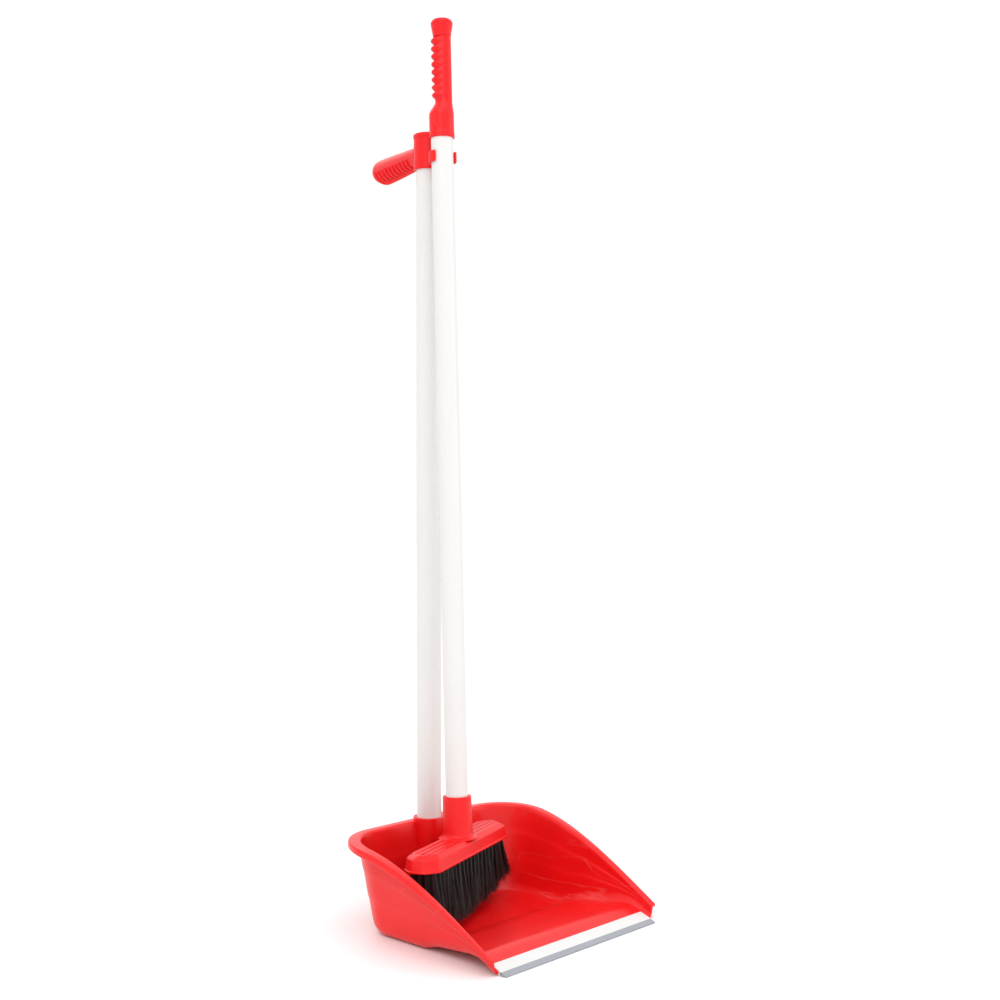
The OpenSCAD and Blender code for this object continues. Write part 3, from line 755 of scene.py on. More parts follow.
# %% [markdown]
# ## The bracket
# One moulding is pushed over the pan's tube. It has a sleeve with a raised ring at its top, an arm with an open
# clip that holds the brush's tube, and a peg behind for the side grip. Its parts run into each other with
# small fillets. They are drawn as separate closed shells and melted into one skin with a voxel remesh.

# %% Shells of the bracket
sleeve_h = 36.0
sleeve_cap = 3.0
sleeve_wall = 2.5
clip_h = 11.0
clip_wall = 3.0
clip_gap = 2.8
clip_open = 130.0
arm_w = 9.0
side_grip_d1 = 20.5
sleeve_r = pan_tube_r + sleeve_wall
sleeve_top = pan_steel_high[2] + sleeve_cap
sleeve_foot = sleeve_top - sleeve_h
clip_in_r = brush_r + 0.06
clip_reach = sleeve_r + clip_gap + clip_in_r + clip_wall - 1.2
grip_z = sleeve_foot + sleeve_h / 2

sleeve_outline = soften(
    [(0, sleeve_top), (sleeve_r - 0.6, sleeve_top), (sleeve_r + 0.6, sleeve_top - 1), (sleeve_r + 0.6, sleeve_top - 4),
     (sleeve_r, sleeve_top - 4.4), (sleeve_r, sleeve_foot), (bore_r, sleeve_foot), (bore_r, sleeve_top - sleeve_cap),
     (0, sleeve_top - sleeve_cap)],
    0.7,
)
peg_outline = soften([(0, 0), (6.0, 0), (6.0, 30.0), (0, 30.0)], 0.8)
collar_outline = soften([(0, 0), (side_grip_d1 / 2 + 1, 0), (side_grip_d1 / 2 + 1, 3.4), (0, 3.4)], 0.8)


def block_sheets(low, high, edge):
    """A box with softened upright edges, as a sheet that wraps and closes at both ends."""
    outline = soften(
        [(low[0], low[1]), (high[0], low[1]), (high[0], high[1]), (low[0], high[1])], edge, steps=6, closed=True
    )
    middle = outline.mean(axis=0)
    levels = [(low[2], 0.0), (low[2], 0.9), (low[2] + edge * 0.5, 1.0), (high[2] - edge * 0.5, 1.0), (high[2], 0.9),
              (high[2], 0.0)]
    sheet = np.array(
        [np.column_stack([middle + (outline - middle) * share, np.full(len(outline), z)]) for z, share in levels]
    )
    return sheet, True


def placed(sheet, place):
    grid, wrap = sheet
    return grid @ place[:3, :3].T + place[:3, 3], wrap


def clip_sheet():
    """The open band: a rounded bar carried round an arc, thinner towards its two tips."""
    half_open = math.radians(clip_open / 2)
    angles = np.linspace(-math.pi / 2 + half_open, 1.5 * math.pi - half_open, 72)
    bar = soften([(0, 0), (clip_wall, 0), (clip_wall, clip_h), (0, clip_h)], 1.0, closed=True)
    rings = []
    ends = np.linspace(0, 1, 6)
    for a, share in [(angles[0] - 0.11 * (1 - t), math.sin(math.pi / 2 * t)) for t in ends] + [
        (a, 1.0) for a in angles
    ] + [(angles[-1] + 0.11 * (1 - t), math.sin(math.pi / 2 * t)) for t in ends[::-1]]:
        radial = clip_in_r + clip_wall / 2 + (bar[:, 0] - clip_wall / 2) * share
        upright = clip_h / 2 + (bar[:, 1] - clip_h / 2) * mix(0.85, 1.0, share)
        rings.append(np.column_stack([radial * math.cos(a), radial * math.sin(a), upright]))
    for k in (0, -1):
        middle = np.repeat(rings[k].mean(axis=0)[None, :], len(bar), axis=0)
        rings.insert(0 if k == 0 else len(rings), middle)
    return np.array(rings), True


backwards = turned(-90, "X")
clip_along = float(np.linalg.norm(
    np.array([math.sin(math.radians(bracket_turn)) * clip_reach,
              tube_y - math.cos(math.radians(bracket_turn)) * clip_reach,
              sleeve_foot + 2 + clip_h / 2]) - foot_at
))
arm = block_sheets(
    (-arm_w / 2, -clip_reach + brush_r + 1, sleeve_foot + 2),
    (arm_w / 2, -pan_tube_r - 1, sleeve_foot + 13),
    1.6,
)
web = block_sheets((-1.6, -sleeve_r - 1.8, sleeve_foot + 12), (1.6, -sleeve_r + 2.2, sleeve_foot + 20), 0.8)
bracket_shells = [placed(lathe(sleeve_outline), on_bracket), placed(arm, on_bracket), placed(web, on_bracket)]
peg_place = on_bracket @ moved(0, sleeve_r - 1, grip_z) @ backwards
bracket_shells.append(placed(lathe(peg_outline, 64), peg_place))
collar_place = on_bracket @ moved(0, sleeve_r - 2.2, grip_z) @ backwards
bracket_shells.append(placed(lathe(collar_outline, 64), collar_place))
clip_place = on_brush @ moved(0, 0, clip_along - clip_h / 2) @ turned(bracket_turn, "Z")
bracket_shells.append(placed(clip_sheet(), clip_place))
bracket = make_piece("bracket_look", bracket_shells, grip_red)

# %% Melt the bracket into one skin
melt = bracket.modifiers.new("Melt together", "REMESH")
melt.mode = "VOXEL"
melt.voxel_size = 0.00045
melt.use_smooth_shade = True
relax = bracket.modifiers.new("Relax", "SMOOTH")
relax.factor = 0.5
relax.iterations = 4


def keep_result(piece):
    """Turns what the modifiers and node trees make into the piece's own plain mesh."""
    bpy.context.view_layer.update()
    graph = bpy.context.evaluated_depsgraph_get()
    made = bpy.data.meshes.new_from_object(
        piece.evaluated_get(graph), preserve_all_data_layers=True, depsgraph=graph
    )
    piece.modifiers.clear()
    piece.data = made
    made.name = piece.name
    print(piece.name, "kept with", len(made.polygons), "faces")
    return made


keep_result(bracket)
bracket.data.materials.clear()
bracket.data.materials.append(grip_red)
show_as(bracket, "pan", "red_plastic", "handle_bracket")

# %% [markdown]
# ## The side grip
# The side grip is a tapered handle with a domed end. Ten half rings under it stop the fingers from slipping.
# The handle is turned. The rings are one bead bent round an arc and repeated, so a Geometry Nodes tree places
# them: it makes an arc for each point of a line and scales it to the handle's radius there.

# %% Turn the handle
side_grip_len = 103.9
side_grip_d2 = 25.0
side_ribs = 10
dome = side_grip_d2 / 2
taper_len = side_grip_len - dome
side_outline = [(0, 0), (side_grip_d1 / 2 - 0.8, 0)]
side_outline += [
    (mix(side_grip_d1, side_grip_d2, smooth(t / taper_len)) / 2, t) for t in np.linspace(0.8, taper_len, 40)
]
side_outline += [
    (dome * math.cos(a), taper_len + dome * math.sin(a)) for a in np.linspace(0.06, math.pi / 2, 24)
]
side_handle = make_piece("side_grip_look", [lathe(np.array(side_outline))], grip_red)

# %% Tree: finger ribs
GEOMETRY = "NodeSocketGeometry"
INTEGER = "NodeSocketInt"
MATERIAL = "NodeSocketMaterial"

rib_tree, rib_in, rib_out = new_tree(
    "Finger ribs",
    "GeometryNodeTree",
    [
        ("Geometry", GEOMETRY, None),
        ("Count", INTEGER, 10),
        ("First rib", FLOAT, 0.016),
        ("Pitch", FLOAT, 0.008),
        ("Radius at sleeve", FLOAT, 0.010),
        ("Radius at end", FLOAT, 0.0125),
        ("Taper length", FLOAT, 0.09),
        ("Bead", FLOAT, 0.0014),
        ("Material", MATERIAL, None),
    ],
    [("Geometry", GEOMETRY, None)],
)
sizes = rib_in.outputs
arc = add_node(
    rib_tree,
    "GeometryNodeCurveArc",
    {"Resolution": 40, "Radius": 1.0, "Start Angle": math.radians(12), "Sweep Angle": math.radians(156)},
)
places = add_node(rib_tree, "GeometryNodeMeshLine", {"Count": sizes["Count"]})
along = calc(rib_tree, "MULTIPLY_ADD", add_node(rib_tree, "GeometryNodeInputIndex").outputs[0], sizes["Pitch"])
rib_tree.links.new(sizes["First rib"], along.node.inputs[2])
on_line = add_node(rib_tree, "ShaderNodeCombineXYZ", {"Z": along}).outputs[0]
spread = add_node(rib_tree, "GeometryNodeSetPosition", {"Geometry": places.outputs[0], "Position": on_line})
radius = add_node(
    rib_tree,
    "ShaderNodeMapRange",
    {
        "Value": along,
        "From Max": sizes["Taper length"],
        "To Min": sizes["Radius at sleeve"],
        "To Max": sizes["Radius at end"],
    },
    interpolation_type="SMOOTHSTEP",
).outputs[0]
scale = add_node(rib_tree, "ShaderNodeCombineXYZ", {"X": radius, "Y": radius, "Z": 1.0}).outputs[0]
arcs = add_node(
    rib_tree,
    "GeometryNodeInstanceOnPoints",
    {"Points": spread.outputs[0], "Instance": arc.outputs[0], "Scale": scale},
)
loose = add_node(rib_tree, "GeometryNodeRealizeInstances", {"Geometry": arcs.outputs[0]})
bead = add_node(rib_tree, "GeometryNodeCurvePrimitiveCircle", {"Resolution": 14, "Radius": sizes["Bead"]})
ribs = add_node(
    rib_tree,
    "GeometryNodeCurveToMesh",
    {"Curve": loose.outputs[0], "Profile Curve": bead.outputs[0], "Fill Caps": True},
)
rounded = add_node(rib_tree, "GeometryNodeSetShadeSmooth", {"Geometry": ribs.outputs[0]})
both = add_node(rib_tree, "GeometryNodeJoinGeometry")
rib_tree.links.new(rounded.outputs[0], both.inputs[0])
rib_tree.links.new(sizes["Geometry"], both.inputs[0])
real = add_node(rib_tree, "GeometryNodeRealizeInstances", {"Geometry": both.outputs[0]})
painted = add_node(
    rib_tree, "GeometryNodeSetMaterial", {"Geometry": real.outputs[0], "Material": sizes["Material"]}
)
rib_tree.links.new(painted.outputs[0], rib_out.inputs[0])


# %% Put the ribs on the handle
def use_tree(piece, tree, **values):
    """Adds a tree to a piece and sets its inputs, by identifier, before it is first evaluated."""
    modifier = piece.modifiers.new(tree.name, "NODES")
    modifier.node_group = tree
    for item in tree.interface.items_tree:
        key = item.name.replace(" ", "_").lower()
        if item.in_out == "INPUT" and key in values:
            modifier[item.identifier] = values[key]
    return keep_result(piece)


first_rib = 16.0
rib_pitch = (taper_len - first_rib - 4) / (side_ribs - 1)
use_tree(
    side_handle,
    rib_tree,
    count=side_ribs,
    first_rib=first_rib / PER_METRE,
    pitch=rib_pitch / PER_METRE,
    radius_at_sleeve=side_grip_d1 / 2 / PER_METRE,
    radius_at_end=side_grip_d2 / 2 / PER_METRE,
    taper_length=taper_len / PER_METRE,
    bead=0.0019,
    material=grip_red,
)
in_metres = np.diag([1 / PER_METRE] * 3 + [1.0])


def settle(piece, place):
    """Moves a finished mesh, made in metres at the origin, to a place given in millimetres."""
    piece.data.transform(Matrix(in_metres @ place @ np.linalg.inv(in_metres)))


settle(side_handle, on_bracket @ moved(0, sleeve_r + 1.3, grip_z) @ backwards)
show_as(side_handle, "pan", "red_grip", "side_grip")

# %% [markdown]
# ## The brush block
# Seen from above the block is a long rectangle with cut corners. Its sides flare out to a small lip at the
# bottom, and a bevel leads up to a flat crown. Each level is the same outline at another size, so the block is
# a loft of levels. A turned socket with a fillet at its foot stands on it.

# %% Loft the block
block_len = 190.0
block_w = 38.0
block_chamfer = 11.0
block_socket_wall = 3.0


def block_outline(grow):
    length = block_len / 2 + grow
    width = block_w / 2 + grow
    cut = block_chamfer
    corners = [
        (length, width - cut), (length - cut, width), (-length + cut, width), (-length, width - cut),
        (-length, -width + cut), (-length + cut, -width), (length - cut, -width), (length, -width + cut),
    ]
    return soften(corners, 3.2, steps=6, closed=True)


levels = [
    (0.0, -3.0), (0.0, -0.5), (0.12, -0.15), (0.5, 0.0), (1.2, 0.0), (1.5, -0.12), (1.75, -0.45), (2.0, -0.75),
    (2.6, -0.95), (10.8, -1.85), (11.5, -2.0), (12.0, -2.25), (12.5, -2.75), (15.3, -6.2), (15.75, -6.8),
    (15.95, -7.4), (16.0, -8.2), (15.75, -8.8), (15.7, -9.6), (15.7, -12.0),
]
block_rows = [np.column_stack([block_outline(g), np.full(len(block_outline(g)), block_low + h)]) for h, g in levels]
for k in (0, -1):
    spine = block_rows[k].copy()
    spine[:, 1] = 0
    block_rows.insert(0 if k == 0 else len(block_rows), spine)
block_sheet = np.array(block_rows)
socket_r = brush_r + block_socket_wall
socket_top = block_top + block_socket_h
socket_outline = soften(
    [(0, block_top - 2), (socket_r + 5.5, block_top - 1.2), (socket_r + 4.6, block_top + 0.2),
     (socket_r + 1.6, block_top + 1.4), (socket_r + 0.7, block_top + 4.5), (socket_r, socket_top),
     (brush_r + 0.1, socket_top), (brush_r + 0.1, tube_seat - 0.4), (0, tube_seat - 0.4)],
    1.0,
)
block = make_piece("brush_block_look", [(block_sheet, True), lathe(socket_outline)], head_red)

# %% [markdown]
# Low ridges run along the crown on both sides of the socket. They are one rounded bar, so a small tree puts
# six of them on a grid of points and joins them to the block.

# %% Tree: crown ridges
ridge_tree, ridge_in, ridge_out = new_tree(
    "Crown ridges",
    "GeometryNodeTree",
    [
        ("Geometry", GEOMETRY, None),
        ("Ridge length", FLOAT, 0.06),
        ("Ridge radius", FLOAT, 0.001),
        ("Apart along", FLOAT, 0.1),
        ("Apart across", FLOAT, 0.014),
        ("Height", FLOAT, 0.076),
        ("Material", MATERIAL, None),
    ],
    [("Geometry", GEOMETRY, None)],
)
sizes = ridge_in.outputs
grid = add_node(
    ridge_tree,
    "GeometryNodeMeshGrid",
    {"Size X": sizes["Apart along"], "Size Y": sizes["Apart across"], "Vertices X": 2, "Vertices Y": 3},
)
half_ridge = calc(ridge_tree, "MULTIPLY", sizes["Ridge length"], 0.5)
start = add_node(ridge_tree, "ShaderNodeCombineXYZ", {"X": calc(ridge_tree, "MULTIPLY", half_ridge, -1.0)})
end = add_node(ridge_tree, "ShaderNodeCombineXYZ", {"X": half_ridge})
line = add_node(
    ridge_tree, "GeometryNodeCurvePrimitiveLine", {"Start": start.outputs[0], "End": end.outputs[0]}
)
line_parts = add_node(ridge_tree, "GeometryNodeResampleCurve", {"Curve": line.outputs[0], "Count": 24})
bar_profile = add_node(
    ridge_tree, "GeometryNodeCurvePrimitiveCircle", {"Resolution": 16, "Radius": sizes["Ridge radius"]}
)
bar = add_node(
    ridge_tree,
    "GeometryNodeCurveToMesh",
    {"Curve": line_parts.outputs[0], "Profile Curve": bar_profile.outputs[0], "Fill Caps": True},
)
bars = add_node(
    ridge_tree, "GeometryNodeInstanceOnPoints", {"Points": grid.outputs[0], "Instance": bar.outputs[0]}
)
up = add_node(ridge_tree, "ShaderNodeCombineXYZ", {"Z": sizes["Height"]})
raised = add_node(
    ridge_tree, "GeometryNodeTransform", {"Geometry": bars.outputs[0], "Translation": up.outputs[0]}
)
rounded = add_node(ridge_tree, "GeometryNodeSetShadeSmooth", {"Geometry": raised.outputs[0]})
both = add_node(ridge_tree, "GeometryNodeJoinGeometry")
ridge_tree.links.new(rounded.outputs[0], both.inputs[0])
ridge_tree.links.new(sizes["Geometry"], both.inputs[0])
real = add_node(ridge_tree, "GeometryNodeRealizeInstances", {"Geometry": both.outputs[0]})
painted = add_node(
    ridge_tree, "GeometryNodeSetMaterial", {"Geometry": real.outputs[0], "Material": sizes["Material"]}
)
ridge_tree.links.new(painted.outputs[0], ridge_out.inputs[0])

# %% Put the ridges on the block
ridge_len = block_len / 2 - socket_r - 10 - block_chamfer
use_tree(
    block,
    ridge_tree,
    ridge_length=ridge_len / PER_METRE,
    ridge_radius=0.0011,
    apart_along=(2 * socket_r + 16 + ridge_len) / PER_METRE,
    apart_across=0.0132,
    height=(block_top - 0.55) / PER_METRE,
    material=head_red,
)
settle(block, on_head)
show_as(block, "brush_head", "red_plastic", "brush_block")

# %% [markdown]
# ## The bristles
# The block is drilled with four rows of nineteen holes, and each holds a tuft of long bristles. A tuft is tight
# where it leaves its hole and opens downwards, its tips are ragged, and at one end of the block the tufts
# have been splayed out by use. That is a rule with some chance in it, which is what Geometry Nodes do best:
# 1. every tuft's point is duplicated into its bristles, at random places in the hole,
# 2. one thin rod with eight segments is put on each of these points,
# 3. the rods are bent by how far down a point lies, with the tuft's own lean and each bristle's own curl.

# %% Tree: tufts of bristles
tuft_tree, tuft_in, tuft_out = new_tree(
    "Tufts of bristles",
    "GeometryNodeTree",
    [
        ("Geometry", GEOMETRY, None),
        ("Bristles in a tuft", INTEGER, 110),
        ("Hole radius", FLOAT, 0.002),
        ("Bristle radius", FLOAT, 0.0002),
        ("Length", FLOAT, 0.06),
        ("Ragged", FLOAT, 0.08),
        ("Splay", FLOAT, 0.004),
        ("Curl", FLOAT, 0.003),
        ("Seed", INTEGER, 1),
        ("Material", MATERIAL, None),
    ],
    [("Geometry", GEOMETRY, None)],
)
sizes = tuft_in.outputs
TUFT_LEAN = "tuft_lean"
TUFT_LENGTH = "tuft_length"
IN_HOLE = "place_in_hole"
CURL = "own_curl"


def chance(low, high, seed_step, kind="FLOAT"):
    """A random number or vector for each element, from the tree's seed and a step of its own."""
    seed = calc(tuft_tree, "ADD", sizes["Seed"], float(seed_step))
    return pick(
        add_node(
            tuft_tree, "FunctionNodeRandomValue", {"Min": low, "Max": high, "Seed": seed}, data_type=kind
        ).outputs,
        "Value",
    )


def store(geometry, name, value, kind="FLOAT"):
    node = add_node(
        tuft_tree, "GeometryNodeStoreNamedAttribute", {"Geometry": geometry, "Name": name}, data_type=kind
    )
    tuft_tree.links.new(value, pick(node.inputs, "Value"))
    return node.outputs[0]


def recall(name, kind="FLOAT"):
    node = add_node(tuft_tree, "GeometryNodeInputNamedAttribute", {"Name": name}, data_type=kind)
    return pick(node.outputs, "Attribute")


def scaled(vector, factor):
    node = add_node(tuft_tree, "ShaderNodeVectorMath", {0: vector}, operation="SCALE")
    if isinstance(factor, bpy.types.NodeSocket):
        tuft_tree.links.new(factor, node.inputs["Scale"])
    else:
        node.inputs["Scale"].default_value = factor
    return node.outputs[0]


# %% Scatter the bristles in their holes
many = add_node(
    tuft_tree,
    "GeometryNodeDuplicateElements",
    {"Geometry": sizes["Geometry"], "Amount": sizes["Bristles in a tuft"]},
    domain="POINT",
)
angle = chance(0.0, 2 * math.pi, 1)
out_share = calc(tuft_tree, "SQRT", chance(0.0, 1.0, 2))
in_hole = add_node(
    tuft_tree,
    "ShaderNodeCombineXYZ",
    {
        "X": calc(tuft_tree, "MULTIPLY", out_share, calc(tuft_tree, "COSINE", angle)),
        "Y": calc(tuft_tree, "MULTIPLY", out_share, calc(tuft_tree, "SINE", angle)),
    },
).outputs[0]
points = store(many.outputs[0], IN_HOLE, in_hole, "FLOAT_VECTOR")
points = store(points, CURL, chance((-1, -1, 0), (1, 1, 0), 3, "FLOAT_VECTOR"), "FLOAT_VECTOR")
points = store(points, TONE, chance(0.0, 1.0, 4))
points = add_node(
    tuft_tree,
    "GeometryNodeSetPosition",
    {"Geometry": points, "Offset": scaled(recall(IN_HOLE, "FLOAT_VECTOR"), sizes["Hole radius"])},
).outputs[0]

# %% One rod, from its hole (0) down to its tip (1)
rod = add_node(
    tuft_tree,
    "GeometryNodeMeshCylinder",
    {"Vertices": 4, "Side Segments": 8, "Radius": sizes["Bristle radius"], "Depth": 1.0},
)
rod_down = add_node(
    tuft_tree, "GeometryNodeTransform", {"Geometry": rod.outputs[0], "Translation": (0, 0, -0.5)}
)
position = add_node(tuft_tree, "GeometryNodeInputPosition").outputs[0]
split = add_node(tuft_tree, "ShaderNodeSeparateXYZ", {0: position})
rod_mesh = store(rod_down.outputs[0], DOWN, calc(tuft_tree, "MULTIPLY", split.outputs["Z"], -1.0))
thin = calc(tuft_tree, "SUBTRACT", 1.0, calc(tuft_tree, "MULTIPLY", recall(DOWN), 0.45))
thin_by = add_node(tuft_tree, "ShaderNodeCombineXYZ", {"X": thin, "Y": thin, "Z": 1.0}).outputs[0]
rod_mesh = add_node(
    tuft_tree,
    "GeometryNodeSetPosition",
    {"Geometry": rod_mesh, "Position": vector_calc(tuft_tree, "MULTIPLY", position, thin_by)},
).outputs[0]

# %% Put a rod on every point and bend it
own_length = calc(
    tuft_tree,
    "MULTIPLY",
    calc(tuft_tree, "MULTIPLY", sizes["Length"], recall(TUFT_LENGTH)),
    calc(tuft_tree, "SUBTRACT", 1.0, calc(tuft_tree, "MULTIPLY", sizes["Ragged"], chance(0.0, 1.0, 5))),
)
rods = add_node(
    tuft_tree,
    "GeometryNodeInstanceOnPoints",
    {
        "Points": points,
        "Instance": rod_mesh,
        "Rotation": add_node(tuft_tree, "ShaderNodeCombineXYZ", {"Z": angle}).outputs[0],
        "Scale": add_node(tuft_tree, "ShaderNodeCombineXYZ", {"X": 1.0, "Y": 1.0, "Z": own_length}).outputs[0],
    },
)
real_rods = add_node(tuft_tree, "GeometryNodeRealizeInstances", {"Geometry": rods.outputs[0]}).outputs[0]
wide = calc(tuft_tree, "POWER", recall(DOWN), 1.15)
closing = calc(tuft_tree, "MULTIPLY", calc(tuft_tree, "POWER", recall(DOWN), 5.0), 0.45)
lock = calc(tuft_tree, "MULTIPLY", wide, calc(tuft_tree, "SUBTRACT", 1.0, closing))
opened = scaled(scaled(recall(IN_HOLE, "FLOAT_VECTOR"), sizes["Splay"]), lock)
leaned = scaled(recall(TUFT_LEAN, "FLOAT_VECTOR"), calc(tuft_tree, "POWER", recall(DOWN), 1.5))
curl_down = calc(tuft_tree, "POWER", recall(DOWN), 2.2)
curled = scaled(scaled(recall(CURL, "FLOAT_VECTOR"), sizes["Curl"]), curl_down)
bend = vector_calc(tuft_tree, "ADD", vector_calc(tuft_tree, "ADD", opened, leaned), curled)
bent = add_node(tuft_tree, "GeometryNodeSetPosition", {"Geometry": real_rods, "Offset": bend}).outputs[0]
for name in (IN_HOLE, CURL, TUFT_LEAN, TUFT_LENGTH):
    bent = add_node(tuft_tree, "GeometryNodeRemoveAttribute", {"Geometry": bent, "Name": name}).outputs[0]
real = add_node(tuft_tree, "GeometryNodeRealizeInstances", {"Geometry": bent})
painted = add_node(
    tuft_tree, "GeometryNodeSetMaterial", {"Geometry": real.outputs[0], "Material": sizes["Material"]}
)
tuft_tree.links.new(painted.outputs[0], tuft_out.inputs[0])

# %% [markdown]
# The lean of a tuft is stored on its point before the tree runs. Outer rows lean out a little, every tuft has a
# small lean of its own, and the tufts near the splayed end lean strongly along the block and are cut shorter.
# The pan holds the brush, so no tip may go through its wall: the other end is pressed in a little, and tips
# that would reach the back wall are bent forwards to a limit in front of it.

# %% Plant the four rows
tuft_rows = 4
tufts = 19
tuft_d = 4.6
row_pitch = 7.4
splayed_lean = 13.0
pressed_in = 6.0
back_limit = 35.0
chances = np.random.default_rng(7)
tuft_margin = (block_len - 2 * block_chamfer - tuft_d) / 2


def plant_row(row):
    name = f"bristle_row_{row + 1}"
    row_y = (row - (tuft_rows - 1) / 2) * row_pitch
    along = np.linspace(-1, 1, tufts)
    places = np.column_stack([along * tuft_margin, np.full(tufts, row_y), np.full(tufts, block_low + 0.5)])
    splayed = np.clip((along - 0.30) / 0.70, 0, 1) ** 1.7
    lean = chances.normal(0, 2.2, (tufts, 3)).clip(-3.5, 3.5)
    lean *= np.clip((1.05 - np.abs(along)) / 0.2, 0.2, 1)[:, None]
    lean[:, 0] += splayed_lean * splayed + pressed_in * np.clip((-along - 0.7) / 0.3, 0, 1)
    lean[:, 1] += 0.16 * row_y
    lean[:, 2] = 0
    yaw = math.radians(brush_yaw)
    tip_y = foot_at[1] + (places[:, 0] + lean[:, 0]) * math.sin(yaw) + (row_y + lean[:, 1]) * math.cos(yaw)
    lean[:, 1] -= np.maximum(0, tip_y - back_limit) / math.cos(yaw)
    mesh = bpy.data.meshes.new(name)
    mesh.from_pydata([tuple(p / PER_METRE) for p in places], [], [])
    lean_layer = mesh.attributes.new(TUFT_LEAN, "FLOAT_VECTOR", "POINT")
    lean_layer.data.foreach_set("vector", (lean / PER_METRE).astype(np.float32).ravel())
    length_layer = mesh.attributes.new(TUFT_LENGTH, "FLOAT", "POINT")
    shares = 1.0 - 0.16 * splayed - chances.uniform(0, 0.13, tufts)
    length_layer.data.foreach_set("value", shares.astype(np.float32))
    piece = bpy.data.objects.new(name + "_look", mesh)
    bpy.context.scene.collection.objects.link(piece)
    use_tree(
        piece,
        tuft_tree,
        bristles_in_a_tuft=105,
        hole_radius=(tuft_d / 2 - 0.25) / PER_METRE,
        bristle_radius=0.00021,
        length=block_low / PER_METRE,
        ragged=0.18,
        splay=0.0030,
        curl=0.0024,
        seed=row * 10,
        material=bristle_black,
    )
    settle(piece, on_head)
    show_as(piece, "brush_head", "bristle", name)
    return piece


rows = [plant_row(row) for row in range(tuft_rows)]
print("bristles:", sum(len(r.data.polygons) for r in rows), "faces")

# %% [markdown]
# ## The grip of the brush
# The grip starts as a round collar on the tube, narrows to a neck, and goes on as a bar with eight finger teeth
# on one side. All of it is one outline seen from above that changes with height, so it is a loft with many
# levels. The cap is a flared button pushed into its end.

# %% Loft the grip
collar_d = 24.6
waist_d = 15.6
cap_h = 17.5
cap_d = 22.4
teeth = 8
tooth_h = 4.0
bar_out = 3.2
neck_h = 12.0
cap_low = grip_start + grip_len - cap_h
tooth_low = grip_start + collar_h + neck_h + 2
tooth_pitch = (cap_low - tooth_low) / teeth


def collar_r(z):
    if z < grip_start + 5:
        return collar_d / 2 + 0.3
    return collar_d / 2


def grip_ring(z, around=96):
    """The outline at a height, round in the collar and a rounded bar with teeth above it."""
    angles = np.linspace(0, 2 * math.pi, around, endpoint=False)
    to_bar = float(smooth((z - grip_start - collar_h + 2) / (neck_h + 2)))
    plain = np.column_stack([np.cos(angles), np.sin(angles)])
    tooth = 0.5 + 0.5 * math.cos(2 * math.pi * ((z - tooth_low) / tooth_pitch - 0.5))
    tooth = tooth**0.55 * float(smooth((z - tooth_low + 2) / 3)) * float(smooth((cap_low - z + 0.5) / 2))
    bar = plain * (waist_d / 2)
    towards_teeth = np.clip(-plain[:, 0], 0, 1) ** 0.8
    bar[:, 0] += bar_out - towards_teeth * (1.2 + (tooth_h - 0.8) * tooth)
    bar[:, 1] *= 1 - 0.06 * towards_teeth * (1 - tooth)
    return plain * collar_r(z) * (1 - to_bar) + bar * to_bar


heights = np.concatenate([
    np.linspace(grip_start + 0.01, grip_start + collar_h - 2, 30),
    np.linspace(grip_start + collar_h - 1.8, tooth_low - 2, 30),
    np.linspace(tooth_low - 1.8, cap_low, 240),
])
grip_rows = [np.column_stack([grip_ring(z), np.full(96, z)]) for z in heights]
foot_ring = np.column_stack([grip_ring(grip_start), np.full(96, grip_start)])
bore = foot_ring.copy()
bore[:, :2] *= (brush_r + 0.06) / (collar_d / 2 + 0.3)
bore_top = bore.copy()
bore_top[:, 2] = brush_tube_top + 0.4
bore_end = bore_top.copy()
bore_end[:, :2] = 0
rounded_foot = foot_ring.copy()
rounded_foot[:, :2] *= 0.975
grip_rows = [bore_end, bore_top, bore, rounded_foot] + [
    foot_ring * (1, 1, 0) + (0, 0, grip_start + 0.5)
] + grip_rows[1:]
grip_end = grip_rows[-1].copy()
grip_end[:, :2] = (bar_out, 0)
grip_sheet = np.array([*grip_rows, grip_end])
grip_place = on_brush @ turned(grip_side, "Z")
grip = make_piece("brush_grip_look", [(grip_sheet, True)], grip_red, grip_place, sharp=60)
show_as(grip, "brush_grip", "red_grip", "brush_grip")

# %% Turn the cap
cap_outline = soften(
    [(0, cap_low - 6), (cap_d / 2 - 4.5, cap_low - 6), (cap_d / 2 - 4.5, cap_low + 0.05), (cap_d / 2 - 2.3, cap_low + 0.05),
     (cap_d / 2 - 1.7, cap_low + 5), (cap_d / 2, cap_low + cap_h - 3.4), (cap_d / 2 - 2.4, cap_low + cap_h - 0.2),
     (0, cap_low + cap_h)],
    1.4,
)
cap = make_piece("grip_cap_look", [lathe(cap_outline)], grip_red, grip_place @ moved(bar_out * 0.7, 0, 0))
show_as(cap, "brush_grip", "red_grip", "grip_cap")

# %% [markdown]
# ## Parts that stay as they are
# The screws, the staples and the ferrule are small or hidden inside, and their CAD shapes are already the real
# ones. They only need their finishes.

# %% Finish the remaining CAD nodes
for name, material, slot in (
    ("pan_screw", steel, "steel"),
    ("bracket_screw", steel, "steel"),
    ("tuft_staples", steel, "steel"),
    ("brush_ferrule", ferrule_grey, "grey_plastic"),
):
    node = frame["nodes"][name]
    node.data.materials.clear()
    node.data.materials.append(material)

# %% [markdown]
# ## Floor, light and camera
# The set stands on a plain pale floor in soft light from large lamps, so the red stays clean and the shadows
# stay soft. The camera looks from the front left, at about half of the set's height.

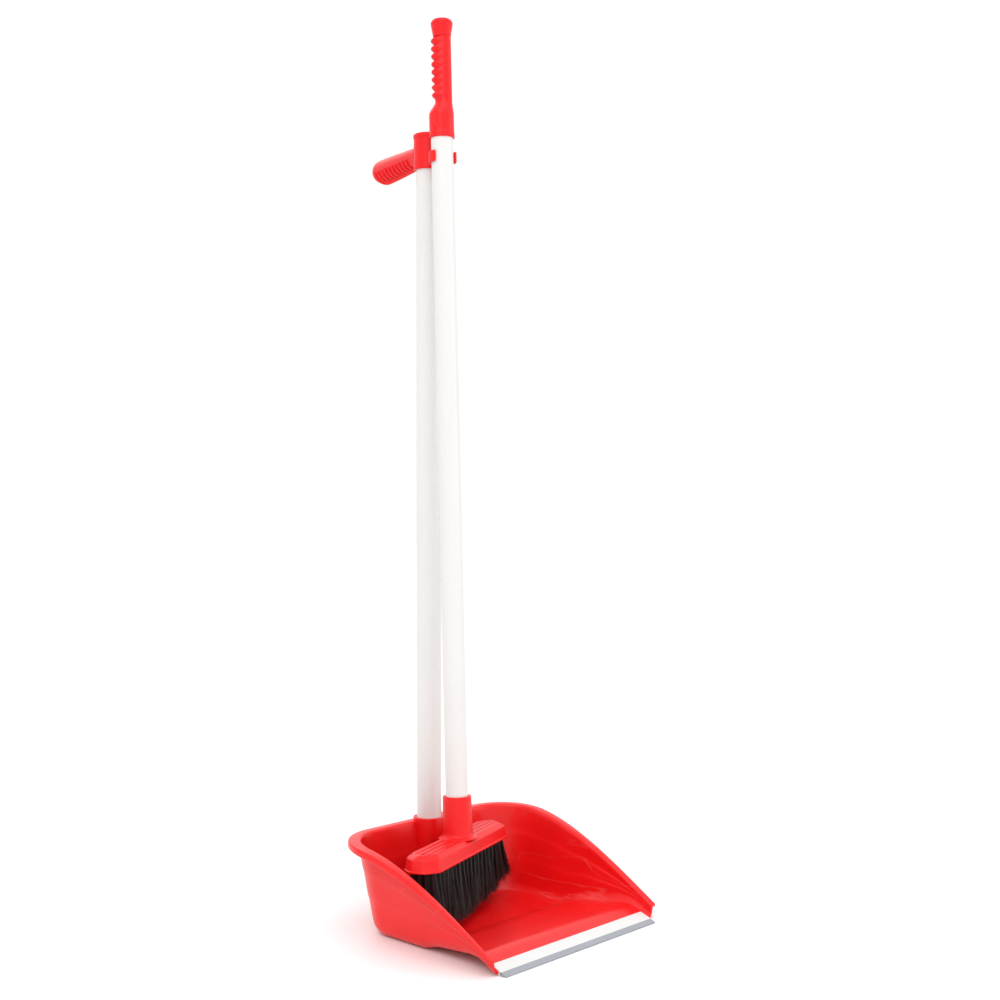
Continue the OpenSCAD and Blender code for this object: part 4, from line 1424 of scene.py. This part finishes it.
# %% Floor
bpy.ops.mesh.primitive_circle_add(vertices=96, radius=9.0, fill_type="NGON", location=(0, 0, -0.0004))
ground = bpy.context.object
ground.name = "ground"
ground_paint = bpy.data.materials.new("Pale floor")
ground_paint.use_nodes = True
ground_shader = ground_paint.node_tree.nodes["Principled BSDF"]
ground_shader.inputs["Roughness"].default_value = 0.65
where = add_node(ground_paint.node_tree, "ShaderNodeTexCoord").outputs["Object"]
speckle = add_node(ground_paint.node_tree, "ShaderNodeTexNoise", {"Vector": where, "Scale": 3.0, "Detail": 6.0})
paint = add_node(
    ground_paint.node_tree,
    "ShaderNodeMix",
    {"Factor": speckle.outputs[0], "A": (0.86, 0.86, 0.86, 1.0), "B": (0.89, 0.89, 0.89, 1.0)},
    data_type="RGBA",
)
ground_paint.node_tree.links.new(pick(paint.outputs, "Result"), ground_shader.inputs["Base Color"])
ground.data.materials.append(ground_paint)


# %% Lamps
def lamp(name, place, aim, size, power):
    light = bpy.data.lights.new(name, "AREA")
    light.shape = "DISK"
    light.size = size
    light.energy = power
    obj = bpy.data.objects.new(name, light)
    bpy.context.scene.collection.objects.link(obj)
    obj.matrix_world = Matrix.Translation(place) @ (
        (Matrix.Translation(aim).to_translation() - Matrix.Translation(place).to_translation())
        .to_track_quat("-Z", "Y")
        .to_matrix()
        .to_4x4()
    )
    return obj


lamp("key", (-1.7, -0.9, 1.9), (0, 0, 0.3), 1.2, 10)
lamp("fill", (1.2, -1.6, 1.0), (0, 0, 0.3), 1.6, 5)
lamp("back", (0.9, 1.8, 1.8), (0, 0, 0.4), 1.4, 6)
sun = bpy.data.lights.new("even light", "SUN")
sun.energy = 0.75
sun.angle = math.radians(60)
sun_object = bpy.data.objects.new("even light", sun)
sun_object.rotation_euler = (math.radians(25), math.radians(-20), 0)
bpy.context.scene.collection.objects.link(sun_object)
world = bpy.data.worlds.new("Soft room")
world.use_nodes = True
world.node_tree.nodes["Background"].inputs["Color"].default_value = (1.0, 1.0, 1.0, 1.0)
world.node_tree.nodes["Background"].inputs["Strength"].default_value = 1.02
bpy.context.scene.world = world
bpy.context.scene.view_settings.view_transform = "Standard"

# %% Camera
camera_azimuth = math.radians(-47.9)
camera_far = 1.45
camera_height = 0.43
aim_at = Vector((0.003, -0.038, 0.412))
camera_data = bpy.data.cameras.new("camera")
camera_data.lens = 54.0
camera = bpy.data.objects.new("camera", camera_data)
bpy.context.scene.collection.objects.link(camera)
camera.location = (
    aim_at.x + camera_far * math.sin(camera_azimuth),
    aim_at.y - camera_far * math.cos(camera_azimuth),
    camera_height,
)
camera.rotation_mode = "QUATERNION"
camera.rotation_quaternion = (aim_at - camera.location).to_track_quat("-Z", "Y")
bpy.context.scene.camera = camera
print("camera at", [round(c, 3) for c in camera.location], "lens", camera_data.lens)
